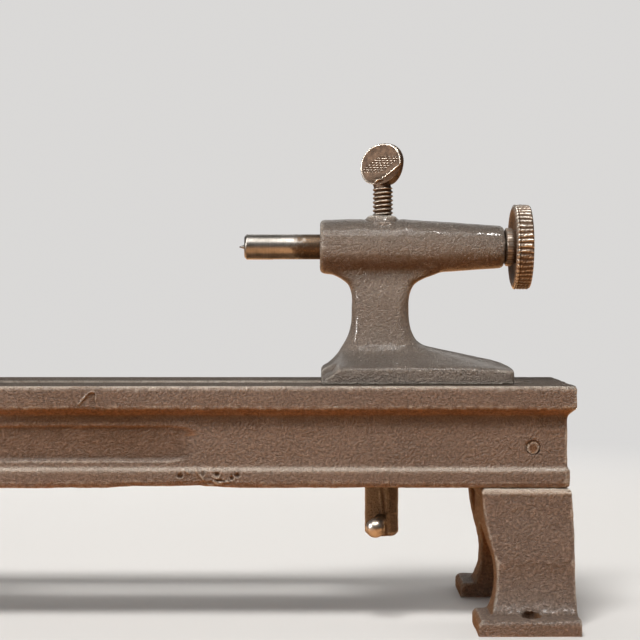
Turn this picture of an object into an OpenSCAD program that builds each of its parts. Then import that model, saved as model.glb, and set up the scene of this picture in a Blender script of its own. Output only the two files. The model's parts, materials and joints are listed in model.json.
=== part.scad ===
// Small bench lathe for wood turning: a channel bed on two cast legs, a fixed
// headstock with a stepped pulley, a sliding tool rest and a sliding tailstock.
// The headstock is at -X, the operator stands at -Y, and the bench is at z = 0.

/* [Bed] */
// Length of the bed's top
bed_l = 381; // [372:1:420]
// Width of the bed's top
bed_w = 50; // [48:1:56]
// Height of the bed casting
bed_h = 29.8; // [28:0.2:36]
// Thickness of the bed's top plate
top_t = 6.4; // [5:0.2:8]
// How far the top plate stands out past the walls
lip = 2.5; // [1.5:0.1:3]
// Thickness of the bed's walls
wall_t = 4; // [3:0.5:5]
// Height of the bead along the foot of the walls
bead_h = 6.4; // [5:0.2:8]
// How far the bead stands out past the walls
bead_out = 0.7; // [0.4:0.1:1.2]
// Width of the slot along the bed
slot_w = 10; // [9:0.5:12]
// Metal left between the slot and each end of the bed
slot_end = 10.6; // [9:0.2:12]
// Length of the sunken panel on the front wall
panel_l = 160; // [100:1:200]
// Height of the sunken panel
panel_h = 9.6; // [7:0.2:10]
// Depth of the sunken panel
panel_deep = 0.8; // [0.5:0.1:1.2]
// Middle of the sunken panel, below the bed's top
panel_drop = 16.7; // [15.6:0.1:17.4]

/* [Legs] */
// Height of the legs, from the bench to the bed's foot
leg_h = 40; // [36:1:52]
// Width of each leg at its top, seen from the front
leg_w = 26; // [24:1:32]
// How far the legs stand out past the bed's walls
leg_out = 1.1; // [0.8:0.1:1.6]
// Clear width between the front and back foot
arch_w = 38; // [32:1:40]
// Clear height of the arch between the feet
arch_h = 26; // [20:1:30]
// Radius of the knee on a leg's inner edge
knee_r = 60; // [50:1:80]
// Thickness of the bolting lugs
lug_t = 4.5; // [4:0.5:7]
// Reach of the bolting lugs past the legs
lug_out = 15; // [13:0.5:18]
// Radius of the bolt holes in the lugs
foot_hole_r = 2.75; // [2:0.25:3.25]
// Radius of the cross pins that hold the legs
leg_pin_r = 2; // [1.5:0.1:2.5]
// Height of the cross pins above the bed's foot
leg_pin_z = 11.8; // [11:0.2:14]
// Distance of the cross pins from the bed's end
leg_pin_in = 12.5; // [11.5:0.5:15]

/* [Centre line] */
// Height of the spindle above the bed's top
centre_h = 41; // [39:0.5:46]

/* [Headstock] */
// Distance of the headstock's middle from the bed's end
head_in = 48.5; // [46:0.5:52]
// Length of the headstock's base
head_l = 92; // [90:1:100]
// Width of the headstock's and tailstock's bases
base_w = 34; // [32:1:36]
// Thickness of the headstock's base
head_base_t = 4.2; // [3.5:0.1:5]
// Distance between the two bearings
bearing_gap = 68; // [66:1:70]
// Length of each bearing housing
bearing_l = 22; // [20:1:23]
// Outside radius of the bearing housings
bearing_r = 11; // [10.5:0.5:12]
// Outside radius of the bronze bushes
bush_r = 8.5; // [8:0.1:9]
// Radius of the spindle
spindle_r = 6.35; // [6:0.05:6.6]
// Length of the spindle's screwed nose
nose_l = 12; // [10:0.5:15]
// Radius of the collars on the spindle
collar_r = 9.5; // [9:0.5:11]
// Radius of the oil holes over the bearings
oil_r = 1.5; // [1:0.1:2]
// Radius of the oil cups
cup_r = 2.6; // [2.2:0.1:3.5]
// Thickness of the spindle's shoulder
shoulder_l = 4.6; // [4:0.2:6]
// Length of the thrust collar
collar_l = 8; // [7:0.5:10]
// Radius of the largest pulley step
pulley_r = 30; // [27:0.5:31]
// Difference in radius between the pulley's steps
pulley_step = 6; // [5:0.5:6.5]
// Width of each pulley step
step_w = 12.5; // [12:0.25:13]
// Depth of the belt grooves
groove_deep = 5.6; // [5:0.1:6]

/* [Tool rest] */
// Tool rest's clamp bolt, measured along the bed
rest_x = -14; // [-16:1:-8]
// Length of the tool rest's bar
rest_l = 60; // [50:1:64]
// Width of the rest's base
rest_w = 26; // [22:1:28]
// Thickness of the rest's base
rest_t = 7; // [6:0.5:8]
// Distance of the rest's post in front of the clamp bolt
post_y = 22; // [21:0.5:24]
// Radius of the rest's post
post_r = 4.76; // [4.2:0.02:5]
// Radius of the boss that holds the post
post_boss_r = 8.5; // [8:0.25:9.5]
// Height of the boss above the bed
post_boss_h = 22; // [20:0.5:23]
// Travel of the rest's base across the bed
reach = 14; // [10:1:14]

/* [Tailstock] */
// Distance of the tailstock's column from the bed's end
tail_in = 55.8; // [54:0.1:70]
// Length of the tailstock's barrel to the left of the column
barrel_left = 18.8; // [17:0.1:22]
// Length of the tailstock's barrel to the right of the column
barrel_right = 37.1; // [36:0.1:42]
// Radius of the barrel's left end
barrel_r = 8.3; // [7.9:0.1:9]
// Radius of the barrel over the column
barrel_mid_r = 8.5; // [8.2:0.1:9.2]
// Radius of the barrel's right end
barrel_end_r = 6.5; // [6:0.1:7]
// Radius of the quill
quill_r = 3.85; // [3.6:0.05:4.1]
// How far the quill stands out of the barrel
quill_out = 23; // [16:0.5:24]
// Length of the quill
quill_l = 53.8; // [50:0.2:54.4]
// Thickness of the wall at the barrel's right end
barrel_wall = 3.9; // [3:0.1:4.5]
// Radius of the handwheel's rim
wheel_r = 12.95; // [11:0.05:14]
// Width of the handwheel's rim
rim_w = 4.5; // [4:0.1:6]
// Number of ridges round the handwheel
ridges = 60; // [48:1:72]
// Radius of the feed screw
feed_r = 2.38; // [2:0.02:2.5]
// Distance of the quill's thumb screw to the right of the column's middle
lock_right = 0.35; // [0:0.05:0.4]
// Running gap between the handwheel's hub and the barrel
wheel_gap = 0.45; // [0.3:0.05:0.8]

/* [Clamps and screws] */
// Radius of the clamp bolts and thumb screws
bolt_r = 3.1; // [2.8:0.05:3.2]
// Radius of the lever nuts
nut_r = 5.1; // [5:0.1:6]
// How far the lever nuts hang below the bed
nut_drop = 17; // [15:0.5:20]
// Height of the levers below the bed's foot
lever_drop = 11.8; // [10:0.2:13]
// Reach of the levers, from the nut's middle to the ball's
lever_l = 22; // [18:0.5:24]
// Radius of the lever's ball
ball_r = 2.8; // [2.4:0.1:3.2]
// Angle of the levers, from straight ahead towards the headstock
lever_turn = 7; // [0:1:30]
// Width of a thumb screw's flat head
head_w = 15; // [12:0.2:17]
// Height of a thumb screw's flat head
head_h = 12.6; // [11:0.2:14]
// Thickness of a thumb screw's flat head
head_t = 1.6; // [1.2:0.1:2.4]
// Turn of the quill's thumb screw, from square to the bed
head_turn = -38; // [-60:1:0]

/* [Hidden] */
$fn = 64;

PAINT = "#8f8b86";
STEEL = "#9a9894";
WORN = "#7d7166";
BRONZE = "#a5793f";
ALLOY = "#b9bbbd";

run = 0.03;      // running clearance on a radius
fit = 0.02;      // close clearance on a radius
seat = 0.3;      // clearance between castings and what lies against them
slip = 0.15;     // clearance of a tongue in the bed's slot
through = 1;     // how far a cut runs past the metal

bed_top = leg_h + bed_h;
axis_z = bed_top + centre_h;
head_x = head_in - bed_l / 2;
tail_x = bed_l / 2 - tail_in;
wall_out = bed_w / 2 - lip;
wall_in = wall_out - wall_t;
end_out = bed_l / 2 - lip;
end_in = end_out - wall_t;
slope_h = 1.7;   // height of the slope under the top plate
bead_slope = 1.8;
slot_x = bed_l / 2 - slot_end - slot_w / 2;
under_top = bed_top - top_t;

// Points of an arc about c, from angle a0 to a1
function arc(c, r, a0, a1, n = 6) =
    [for (i = [0:n]) c + r * [cos(a0 + (a1 - a0) * i / n), sin(a0 + (a1 - a0) * i / n)]];

// A polygon's right half, closed by its mirror image about x = 0
function both_sides(right) =
    concat(right, [for (i = [len(right) - 1:-1:0]) [-right[i][0], right[i][1]]]);

// Draws children's 2D shape standing up: x stays, y becomes z, and depth runs along y
module upright(depth) { rotate([90, 0, 0]) linear_extrude(depth, center = true) children(); }

// Draws children's 2D shape across the bed: x becomes y, y becomes z, and depth runs along x
module crosswise(depth) { rotate([90, 0, 90]) linear_extrude(depth, center = true) children(); }

// A cylinder along x from x0 to x1, on the line y = 0, z = 0
module rod_x(x0, x1, r) { translate([x0, 0, 0]) rotate([0, 90, 0]) cylinder(h = x1 - x0, r = r); }

// A solid of revolution about x; the outline's points are [x, radius]
module turned_x(outline) {
    rotate([90, 0, 90]) rotate_extrude() polygon([for (p = outline) [p[1], p[0]]]);
}

// A hexagonal bar along z, h high, across its flats af
module hex(af, h) { cylinder(h = h, r = af / 2 / cos(30), $fn = 6); }

// A smooth value between rows of a table, by a Catmull-Rom curve through column c
function between(t, i, f, c) =
    let (last = len(t) - 1,
         a = t[max(i - 1, 0)][c], b = t[i][c], d = t[min(i + 1, last)][c], e = t[min(i + 2, last)][c])
    b + f * ((d - a) / 2 + f * (a - 2.5 * b + 2 * d - e / 2 + f * (1.5 * (b - d) + (e - a) / 2)));

// A column of oval sections. Each row of the table is
// [height, reach to the left, reach to the right, half depth, squareness].
module column_of_sections(table, sides = 28, steps = 2) {
    last = len(table) - 1;
    rings = concat(
        [for (i = [0:last - 1], k = [0:steps - 1])
            [for (c = [0:4]) between(table, i, k / steps, c)]],
        [table[last]]);
    function power(v, n) = sign(v) * pow(abs(v), 2 / n);
    points = [for (g = rings, s = [0:sides - 1])
        let (a = 360 * s / sides, x = power(cos(a), g[4]))
        [x * (x < 0 ? g[1] : g[2]), g[3] * power(sin(a), g[4]), g[0]]];
    n = len(rings);
    walls = [for (j = [0:n - 2], s = [0:sides - 1])
        let (p = j * sides + s, q = j * sides + (s + 1) % sides)
        [p, p + sides, q + sides, q]];
    polyhedron(points,
        concat(walls, [[for (s = [0:sides - 1]) s]], [[for (s = [sides - 1:-1:0]) (n - 1) * sides + s]]));
}

// Bed: the outline of its side, h out to the top plate's edge
module bed_outline(h) {
    r = 1;
    w = h - lip;
    b = w + bead_out;
    polygon(both_sides(concat(
        [[0, bed_h]],
        arc([h - r, bed_h - r], r, 90, 0, 4),
        arc([h - r, bed_h - top_t + r], r, 0, -60, 3),
        [[w, bed_h - top_t - slope_h], [w, bead_h], [b, bead_h - bead_slope]],
        arc([b - r, r], r, 0, -90, 4),
        [[0, 0]])));
}

module sunken_panel() {
    r = panel_h / 2;
    translate([0, -wall_out, bed_top - panel_drop])
        for (s = [-1, 1]) {
            translate([s * (panel_l / 2 - r), 0, 0]) rotate([90, 0, 0])
                cylinder(h = 2 * panel_deep, r = r, center = true);
            cube([panel_l - 2 * r, 2 * panel_deep, panel_h], center = true);
        }
}

module bed_slot(w, z0, z1) {
    translate([0, 0, z0]) {
        translate([-slot_x, -w / 2, 0]) cube([2 * slot_x, w, z1 - z0]);
        for (s = [-1, 1]) translate([s * slot_x, 0, 0]) cylinder(h = z1 - z0, r = w / 2);
    }
}

leg_pin_x = bed_l / 2 - leg_pin_in;

module leg_pin_holes(r) {
    for (s = [-1, 1])
        translate([s * leg_pin_x, 0, leg_h + leg_pin_z]) rotate([90, 0, 0])
            cylinder(h = bed_w, r = r, center = true);
}

rib_x = head_x + 12;
rib_t = 4;
rib_h = 9;

module bed() {
    color(PAINT) {
        difference() {
            translate([0, 0, leg_h]) intersection() {
                crosswise(bed_l + 2) bed_outline(bed_w / 2);
                upright(bed_w + 2) bed_outline(bed_l / 2);
            }
            translate([-end_in, -wall_in, leg_h - through])
                cube([2 * end_in, 2 * wall_in, bed_h - top_t + through]);
            bed_slot(slot_w, leg_h, bed_top + through);
            sunken_panel();
            leg_pin_holes(leg_pin_r + fit);
        }
        for (s = [-1, 1])
            translate([rib_x - rib_t / 2, s > 0 ? slot_w / 2 : -wall_in - fit, under_top - rib_h])
                cube([rib_t, wall_in - slot_w / 2 + fit, rib_h + fit]);
    }
}

// Legs
leg_in = bed_l / 2 - lip + leg_out;       // outer edge of a leg, from the bed's middle
leg_half = bed_w / 2 - lip + leg_out;     // half depth of a leg at its top
foot_half = leg_half + 2.6;               // half depth of a leg at its waist
sweep_r = 16;                             // radius of the sweep from the waist to the lug
lug_half = leg_half + lug_out;
lug_bolt_y = lug_half - 6.5;
lug_bolt_x = leg_in - leg_w / 2;
knee_drop = 0.45 * leg_h;
ankle_r = 25;
toe = 2.5;                                // how far the lug runs in past the ankle

// A leg from the front, its outer edge at x = 0 and its inner edge at -leg_w
module leg_front() {
    a = asin(knee_drop / knee_r);
    knee = arc([-leg_w + knee_r, leg_h], knee_r, 180, 180 + a, 8);
    low = knee[8];
    c = low - ankle_r * [cos(a), sin(a)];
    ankle = arc(c, ankle_r, a, -asin((c[1] - lug_t) / ankle_r), 10);
    polygon(concat(
        [[-0.8, leg_h], [0, leg_h - 0.8], [0.7, leg_h * 0.7], [0.7, 0], [-leg_w - toe, 0],
         [-leg_w - toe, lug_t - 1], [-leg_w - toe + 1, lug_t]],
        [for (i = [10:-1:0]) ankle[i]],
        [for (i = [7:-1:1]) knee[i]],
        [[-leg_w, leg_h - 0.8], [-leg_w + 0.8, leg_h]]));
}

// A leg from the bed's end
module leg_side() {
    difference() {
        polygon(both_sides(concat(
            [[leg_half - 0.8, leg_h], [leg_half, leg_h - 0.8], [leg_half + 0.3, leg_h * 0.8]],
            arc([foot_half + sweep_r, lug_t + 12], sweep_r, 172, 180 + asin(12 / sweep_r), 8),
            [[lug_half - 1, lug_t], [lug_half, lug_t - 1], [lug_half, 0]])));
        translate([0, arch_h - arch_w / 2]) circle(r = arch_w / 2);
        translate([-arch_w / 2, -through]) square([arch_w, arch_h - arch_w / 2 + through]);
    }
}

tongue_in = end_in - seat;
tongue_l = leg_w - 9;
tongue_z = leg_pin_z + 6;

module leg(side) {
    mirror([side < 0 ? 1 : 0, 0, 0])
        difference() {
            union() {
                intersection() {
                    translate([leg_in, 0, 0]) upright(2 * lug_half + 2) leg_front();
                    translate([leg_in, 0, 0]) crosswise(3 * leg_w) leg_side();
                }
                translate([tongue_in - tongue_l, -wall_in + seat, leg_h - fit])
                    cube([tongue_l, 2 * (wall_in - seat), tongue_z + fit]);
            }
            for (s = [-1, 1])
                translate([lug_bolt_x, s * lug_bolt_y, -through])
                    cylinder(h = lug_t + 2 * through, r = foot_hole_r);
            leg_pin_holes(leg_pin_r + fit);
            // The cross member is hollow on its inner side, between the two feet
            translate([leg_in - leg_w - 4, -leg_half + 8, arch_h - 3])
                cube([5.6, 2 * leg_half - 16, leg_h - arch_h - 1]);
        }
}

module left_leg() { color(PAINT) leg(-1); }
module right_leg() { color(PAINT) leg(1); }

module leg_pins() {
    color(PAINT) for (s = [-1, 1])
        translate([s * leg_pin_x, 0, leg_h + leg_pin_z]) rotate([90, 0, 0])
            cylinder(h = 2 * wall_out, r = leg_pin_r, center = true);
}

// Headstock
column_x = bearing_gap / 2;
bolt_rear = -10;                          // rear hold-down bolt, from the headstock's middle
bolt_front = column_x;                    // front hold-down bolt is under the front bearing
bolt_boss_r = 8;
bolt_boss_h = centre_h - pulley_r - 1.5;
tongue_deep = 3;
bolt_deep = 8;                            // how far a hold-down bolt screws up into a base

head_rows = [
    [head_base_t - 1, 12, 12, base_w / 2 - 1.5, 5],
    [head_base_t + 1.2, 11, 11, base_w / 2 - 4.4, 3.4],
    [head_base_t + 4, 9.4, 9.4, base_w / 2 - 6.6, 3],
    [12, 8.3, 8.3, 9, 3.4],
    [18, 7.6, 7.6, 8.2, 4],
    [centre_h - bearing_r - 6, 7.6, 7.6, 8.2, 4],
    [centre_h - bearing_r - 2, 8.6, 8.6, 8.5, 4],
    [centre_h - bearing_r + 1, bearing_l / 2 - 0.8, bearing_l / 2 - 0.8, 8.6, 4.5],
    [centre_h - bearing_r + 5, bearing_l / 2 - 0.5, bearing_l / 2 - 0.5, 8, 5]
];

module slab(l, w, h, r) {
    translate([-l / 2 + r, -w / 2, 0]) cube([l - 2 * r, w, h]);
    translate([-l / 2, -w / 2 + r, 0]) cube([l, w - 2 * r, h]);
    for (x = [-1, 1], y = [-1, 1])
        translate([x * (l / 2 - r), y * (w / 2 - r), 0]) cylinder(h = h, r = r);
}

module bearing_housing() {
    b = bearing_l / 2;
    turned_x([[-b, 0], [-b, bearing_r - 1.2], [-b + 1.2, bearing_r], [b - 1.2, bearing_r],
              [b, bearing_r - 1.2], [b, 0]]);
}

module headstock_body() {
    color(PAINT) translate([head_x, 0, bed_top]) difference() {
        union() {
            slab(head_l, base_w, head_base_t, 3);
            for (s = [-1, 1]) translate([s * column_x, 0, 0]) {
                column_of_sections(head_rows, 24, 2);
                translate([0, 0, centre_h]) bearing_housing();
            }
            translate([bolt_rear, 0, 0]) cylinder(h = bolt_boss_h, r = bolt_boss_r);
            translate([-column_x, -3, 0]) cube([2 * column_x, 6, head_base_t + 1.5]);
            translate([-head_l / 2 + 14, -slot_w / 2 + slip, -tongue_deep])
                cube([head_l - 22, slot_w - 2 * slip, tongue_deep + fit]);
        }
        translate([0, 0, centre_h]) rod_x(-head_l, head_l, bush_r + fit);
        for (x = [bolt_rear, bolt_front])
            translate([x, 0, -tongue_deep - through])
                cylinder(h = tongue_deep + bolt_deep + through, r = bolt_r + run);
        for (s = [-1, 1]) translate([s * column_x, 0, centre_h])
            cylinder(h = bearing_r + through, r = oil_r + fit);
    }
}

module bush(side) {
    color(BRONZE) translate([head_x + side * column_x, 0, axis_z]) difference() {
        rod_x(-bearing_l / 2, bearing_l / 2, bush_r);
        rod_x(-bearing_l, bearing_l, spindle_r + run);
        cylinder(h = bearing_r, r = oil_r + fit);
    }
}

module front_bush() { bush(1); }
module rear_bush() { bush(-1); }

module oil_cups() {
    color(BRONZE) for (s = [-1, 1]) translate([head_x + s * column_x, 0, axis_z]) {
        translate([0, 0, bush_r + 0.1]) cylinder(h = bearing_r - bush_r + 1, r = oil_r);
        translate([0, 0, bearing_r + 0.1]) rotate_extrude()
            polygon(concat([[0, 0], [cup_r, 0], [cup_r, 1.3 * cup_r]],
                arc([0, 0.85 * cup_r], 1.1 * cup_r, 24, 90, 5)));
    }
}

plate_t = 5;
plate_l = 20;
plate_w = 28;
bolt_af = 11;
bolt_head_h = 4.2;

// A plate that bears on the underside of the bed's top, across the slot
module clamp_plate(x) {
    color(STEEL) translate([x, 0, under_top - plate_t]) difference() {
        translate([-plate_l / 2, -plate_w / 2, 0]) cube([plate_l, plate_w, plate_t]);
        translate([0, 0, -through]) cylinder(h = plate_t + 2 * through, r = bolt_r + run);
    }
}

module headstock_clamp_plates() {
    for (x = [bolt_rear, bolt_front]) clamp_plate(head_x + x);
}

module headstock_bolts() {
    color(STEEL) for (x = [bolt_rear, bolt_front])
        translate([head_x + x, 0, under_top - plate_t]) {
            translate([0, 0, -bolt_head_h]) hex(bolt_af, bolt_head_h);
            translate([0, 0, -fit]) cylinder(h = plate_t + top_t + bolt_deep - 1 + fit, r = bolt_r);
        }
}

// Spindle
front_face = head_x + column_x + bearing_l / 2;
rear_face = head_x - column_x - bearing_l / 2;
end_play = 0.15;
shoulder_x = front_face + end_play;
nose_x = shoulder_x + shoulder_l;
nose_end = nose_x + nose_l;
collar_x = rear_face - end_play - collar_l;
spindle_end = collar_x - 2;
taper_r = 4.5;
taper_slope = 0.026;
taper_l = 32;

module spindle() {
    color(STEEL) translate([0, 0, axis_z]) difference() {
        turned_x([[spindle_end, 0], [spindle_end, spindle_r - 0.6], [spindle_end + 0.6, spindle_r],
                  [shoulder_x, spindle_r], [shoulder_x, collar_r], [nose_x, collar_r],
                  [nose_x, spindle_r], [nose_end, spindle_r], [nose_end, 0]]);
        turned_x([[nose_end + through, 0], [nose_end + through, taper_r + fit],
                  [nose_end, taper_r + fit], [nose_end - taper_l, taper_r - taper_slope * taper_l + fit],
                  [nose_end - taper_l, 0]]);
    }
}

spur_r = 5.9;
spur_head_l = 9;
spur_gap = 0.5;
spur_x = nose_end + spur_gap;
prong_l = 3;
point_l = 5.5;

module spur_centre() {
    shank = taper_l - 2;
    face = spur_x + spur_head_l;
    color(STEEL) translate([0, 0, axis_z]) {
        turned_x([[nose_end - shank, 0], [nose_end - shank, taper_r - taper_slope * shank],
                  [nose_end, taper_r], [spur_x, taper_r], [spur_x, spur_r - 0.5],
                  [spur_x + 0.5, spur_r], [face, spur_r], [face, 1.4], [face + point_l, 0]]);
        for (a = [0:90:270]) rotate([a + 45, 0, 0])
            translate([face - fit, 0, 0]) rotate([90, 0, 0]) linear_extrude(1.2, center = true)
                polygon([[0, 2.2], [prong_l, 2.9], [prong_l, 4.6], [0, spur_r - 0.4]]);
    }
}

// Pulley: three steps, the smallest beside the rear bearing
steps = 3;
hub_l = 2;
pulley_l = steps * step_w + hub_l;
pulley_x = head_x - pulley_l / 2;
groove_top = 4.75;
groove_foot = 2.4;

function groove(x, r) = [
    [x, r - 0.5], [x + 0.5, r], [x + step_w / 2 - groove_top, r],
    [x + step_w / 2 - groove_foot, r - groove_deep], [x + step_w / 2 + groove_foot, r - groove_deep],
    [x + step_w / 2 + groove_top, r], [x + step_w - 0.5, r], [x + step_w, r - 0.5]];

module step_pulley() {
    hub_r = 10.5;
    grooves = [for (i = [0:steps - 1])
        each groove(pulley_x + hub_l + i * step_w, pulley_r - (steps - 1 - i) * pulley_step)];
    face = pulley_x + pulley_l;
    color(ALLOY) translate([0, 0, axis_z]) difference() {
        turned_x(concat([[pulley_x, 0], [pulley_x, hub_r], [pulley_x + hub_l, hub_r]], grooves,
            [[face, pulley_r - 4], [face - 6, pulley_r - 6], [face - 6, hub_r + 1], [face, hub_r], [face, 0]]));
        rod_x(pulley_x - through, face + through, spindle_r + fit);
        translate([pulley_x + hub_l + step_w / 2, 0, 0]) cylinder(h = pulley_r, r = screw_r + fit);
    }
}

screw_r = 2;

// A headless set screw that bears on the spindle, its outer end at radius r
module set_screw(x, r) {
    l = r - spindle_r - 0.05;
    color(STEEL) translate([x, 0, axis_z + spindle_r + 0.05]) difference() {
        cylinder(h = l, r = screw_r);
        translate([-screw_r, -0.35, l - 1]) cube([2 * screw_r, 0.7, 2]);
    }
}

small_foot_r = pulley_r - (steps - 1) * pulley_step - groove_deep;

module pulley_set_screw() { set_screw(pulley_x + hub_l + step_w / 2, small_foot_r - 0.5); }

module thrust_collar() {
    color(STEEL) translate([0, 0, axis_z]) difference() {
        turned_x([[collar_x, 0], [collar_x, collar_r - 0.6], [collar_x + 0.6, collar_r],
                  [collar_x + collar_l - 0.6, collar_r], [collar_x + collar_l, collar_r - 0.6],
                  [collar_x + collar_l, 0]]);
        rod_x(collar_x - through, collar_x + collar_l + through, spindle_r + fit);
        translate([collar_x + collar_l / 2, 0, 0]) cylinder(h = collar_r + 1, r = screw_r + fit);
    }
}

module collar_set_screw() { set_screw(collar_x + collar_l / 2, collar_r - 0.2); }

// Thumb screw with a flat head, its tip at z = 0 and its neck at z = neck
neck_h = 2;

module thumb_screw(neck) {
    t = head_t / 2;
    z0 = neck + neck_h - 1;
    color(WORN) {
        rotate_extrude() polygon([[0, 0], [bolt_r - 0.8, 0], [bolt_r, 0.8], [bolt_r, neck],
            [bolt_r - 0.45, neck + 0.3], [bolt_r - 0.3, neck + neck_h + 0.6], [0, neck + neck_h + 2.4]]);
        intersection() {
            upright(3 * bolt_r) translate([0, z0 + head_h / 2]) scale([head_w / head_h, 1])
                circle(r = head_h / 2);
            crosswise(head_w + 1) polygon(both_sides([
                [t - 0.2, z0 + head_h], [t, z0 + head_h - 0.6], [t, z0 + 0.44 * head_h],
                [t + 0.1, z0 + 0.36 * head_h], [t + 0.35, z0 + 0.27 * head_h],
                [t + 0.65, z0 + 0.2 * head_h], [t + 1.1, z0 + 0.12 * head_h],
                [bolt_r - 0.6, z0 + 0.5], [bolt_r - 0.3, z0]]));
        }
    }
}

// Lever nut: a long plain hub with a ball lever, under the clamp plate
nut_top = under_top - plate_t - seat;
nut_foot = leg_h - nut_drop;
lever_z = leg_h - lever_drop;
lever_r = 1.7;
lever_in = 1.8;                           // how deep the lever sits in the nut

module lever_nut(x) {
    color(PAINT) translate([x, 0, 0]) difference() {
        translate([0, 0, nut_foot]) rotate_extrude()
            polygon([[0, 0], [nut_r - 1, 0], [nut_r, 1], [nut_r, nut_top - nut_foot - 0.8],
                     [nut_r - 0.8, nut_top - nut_foot], [0, nut_top - nut_foot]]);
        translate([0, 0, nut_foot + 3]) cylinder(h = nut_top - nut_foot, r = bolt_r + run);
        translate([0, 0, lever_z]) rotate([90, 0, -lever_turn])
            cylinder(h = nut_r + 1, r = lever_r + fit);
    }
}

module ball_lever(x) {
    color(STEEL) translate([x, 0, lever_z]) rotate([90, 0, -lever_turn]) {
        translate([0, 0, nut_r - lever_in]) cylinder(h = lever_l - nut_r + lever_in, r = lever_r);
        translate([0, 0, lever_l]) sphere(r = ball_r);
    }
}

// Tool rest
rest_slot = 2 * bolt_r + 0.8;
rest_back = 2;                            // travel of the rest's base towards the back
washer_r = 7.5;
washer_t = 1.5;
neck_sq = rest_slot - 2 * slip;           // square neck of the clamp bolt, in the base's slot
slot_spare = neck_sq / 2 - 1;             // room for the neck's corners at the slot's round ends
lock_z = 14;
lock_pad = 4;
rest_bar_h = 13;
rest_top = axis_z - 1;
post_foot = bed_top + 4;

module rest_base() {
    r = rest_w / 2;
    back_y = reach - 1;
    color(PAINT) translate([rest_x, 0, bed_top]) difference() {
        union() {
            translate([0, back_y, 0]) cylinder(h = rest_t, r = r);
            translate([0, -post_y + 2, 0]) cylinder(h = rest_t, r = r);
            translate([-r, -post_y + 2, 0]) cube([rest_w, back_y + post_y - 2, rest_t]);
            translate([0, -post_y, 0]) cylinder(h = post_boss_h - 1, r = post_boss_r);
            translate([0, -post_y, post_boss_h - 1 - fit])
                cylinder(h = 1 + fit, r1 = post_boss_r, r2 = post_boss_r - 1);
            translate([0, -post_y, lock_z]) rotate([90, 0, 0])
                cylinder(h = post_boss_r + lock_pad - 1, r = bolt_r + 2);
        }
        translate([0, -post_y, -through]) cylinder(h = post_boss_h + 2 * through, r = post_r + run);
        translate([0, -post_y, lock_z]) rotate([90, 0, 0])
            cylinder(h = post_boss_r + lock_pad + 1, r = bolt_r + run);
        translate([0, 0, -through]) {
            translate([-rest_slot / 2, -rest_back - slot_spare, 0])
                cube([rest_slot, reach + rest_back + 2 * slot_spare, rest_t + 2]);
            for (y = [-rest_back - slot_spare, reach + slot_spare]) translate([0, y, 0])
                cylinder(h = rest_t + 2, r = rest_slot / 2);
        }
    }
}

module rest_clamp_bolt() {
    top = bed_top + rest_t + washer_t;
    color(STEEL) translate([rest_x, 0, 0]) {
        translate([0, 0, top]) hex(bolt_af, bolt_head_h + 0.6);
        translate([0, 0, nut_foot + 5]) cylinder(h = top - nut_foot - 5 + fit, r = bolt_r);
        translate([-neck_sq / 2 + 0.1, -neck_sq / 2 + 0.1, bed_top + seat])
            cube([neck_sq - 0.2, neck_sq - 0.2, rest_t - 2 * seat]);
    }
}

module rest_washer() {
    color(STEEL) translate([rest_x, 0, bed_top + rest_t]) difference() {
        cylinder(h = washer_t, r = washer_r);
        translate([0, 0, -through]) cylinder(h = 2 * through + washer_t, r = bolt_r + 0.2);
    }
}

module rest_clamp_plate() { clamp_plate(rest_x); }
module rest_lever_nut() { lever_nut(rest_x); }
module rest_lever() { ball_lever(rest_x); }

// The bar stands on its post. Its front is hollow, its edge is towards the work, and it rises to its ends.
rest_edge = -13.5;
rest_end_h = 4.5;                         // height of the bar's ends

module tool_rest_bar() {
    end = rest_l / 2;
    hollow = 14;
    intersection() {
        crosswise(rest_l) polygon(concat(
            [[rest_edge, -1.2], [rest_edge - 0.8, -0.3], [rest_edge - 1.8, 0]],
            arc([rest_edge - 2 - hollow, -0.5], hollow, 0, -58, 8),
            [[-post_y - 4, -rest_bar_h + 1], [-post_y - 3.4, -rest_bar_h], [-post_y + 4, -rest_bar_h],
             [rest_edge - 3, -rest_bar_h + 2.4], [rest_edge, -8]]));
        upright(4 * post_y) polygon(both_sides(concat(
            [[end - 1, 0], [end, -1]],
            arc([end - 1.5, -rest_end_h + 1.5], 1.5, 0, -62, 4),
            [[post_r + 6, -rest_bar_h]])));
    }
}

module tool_rest() {
    foot = rest_top - rest_bar_h;
    swell = post_r + 1.6;
    color(PAINT) translate([rest_x, 0, 0]) {
        translate([0, 0, rest_top]) tool_rest_bar();
        translate([0, -post_y, 0]) rotate_extrude() polygon([[0, post_foot], [post_r, post_foot],
            [post_r, foot - 1.4], [swell, foot + 0.2], [swell, foot + 1], [swell - 0.6, foot + 2.2],
            [swell - 1.8, foot + 3], [0, foot + 3.6]]);
    }
}

module rest_lock_screw() {
    l = post_boss_r + lock_pad - 1 - post_r + 8;
    translate([rest_x, -post_y - post_r - 0.05, bed_top + lock_z]) rotate([90, 0, 0])
        rotate([0, 0, 90]) thumb_screw(l);
}

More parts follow.
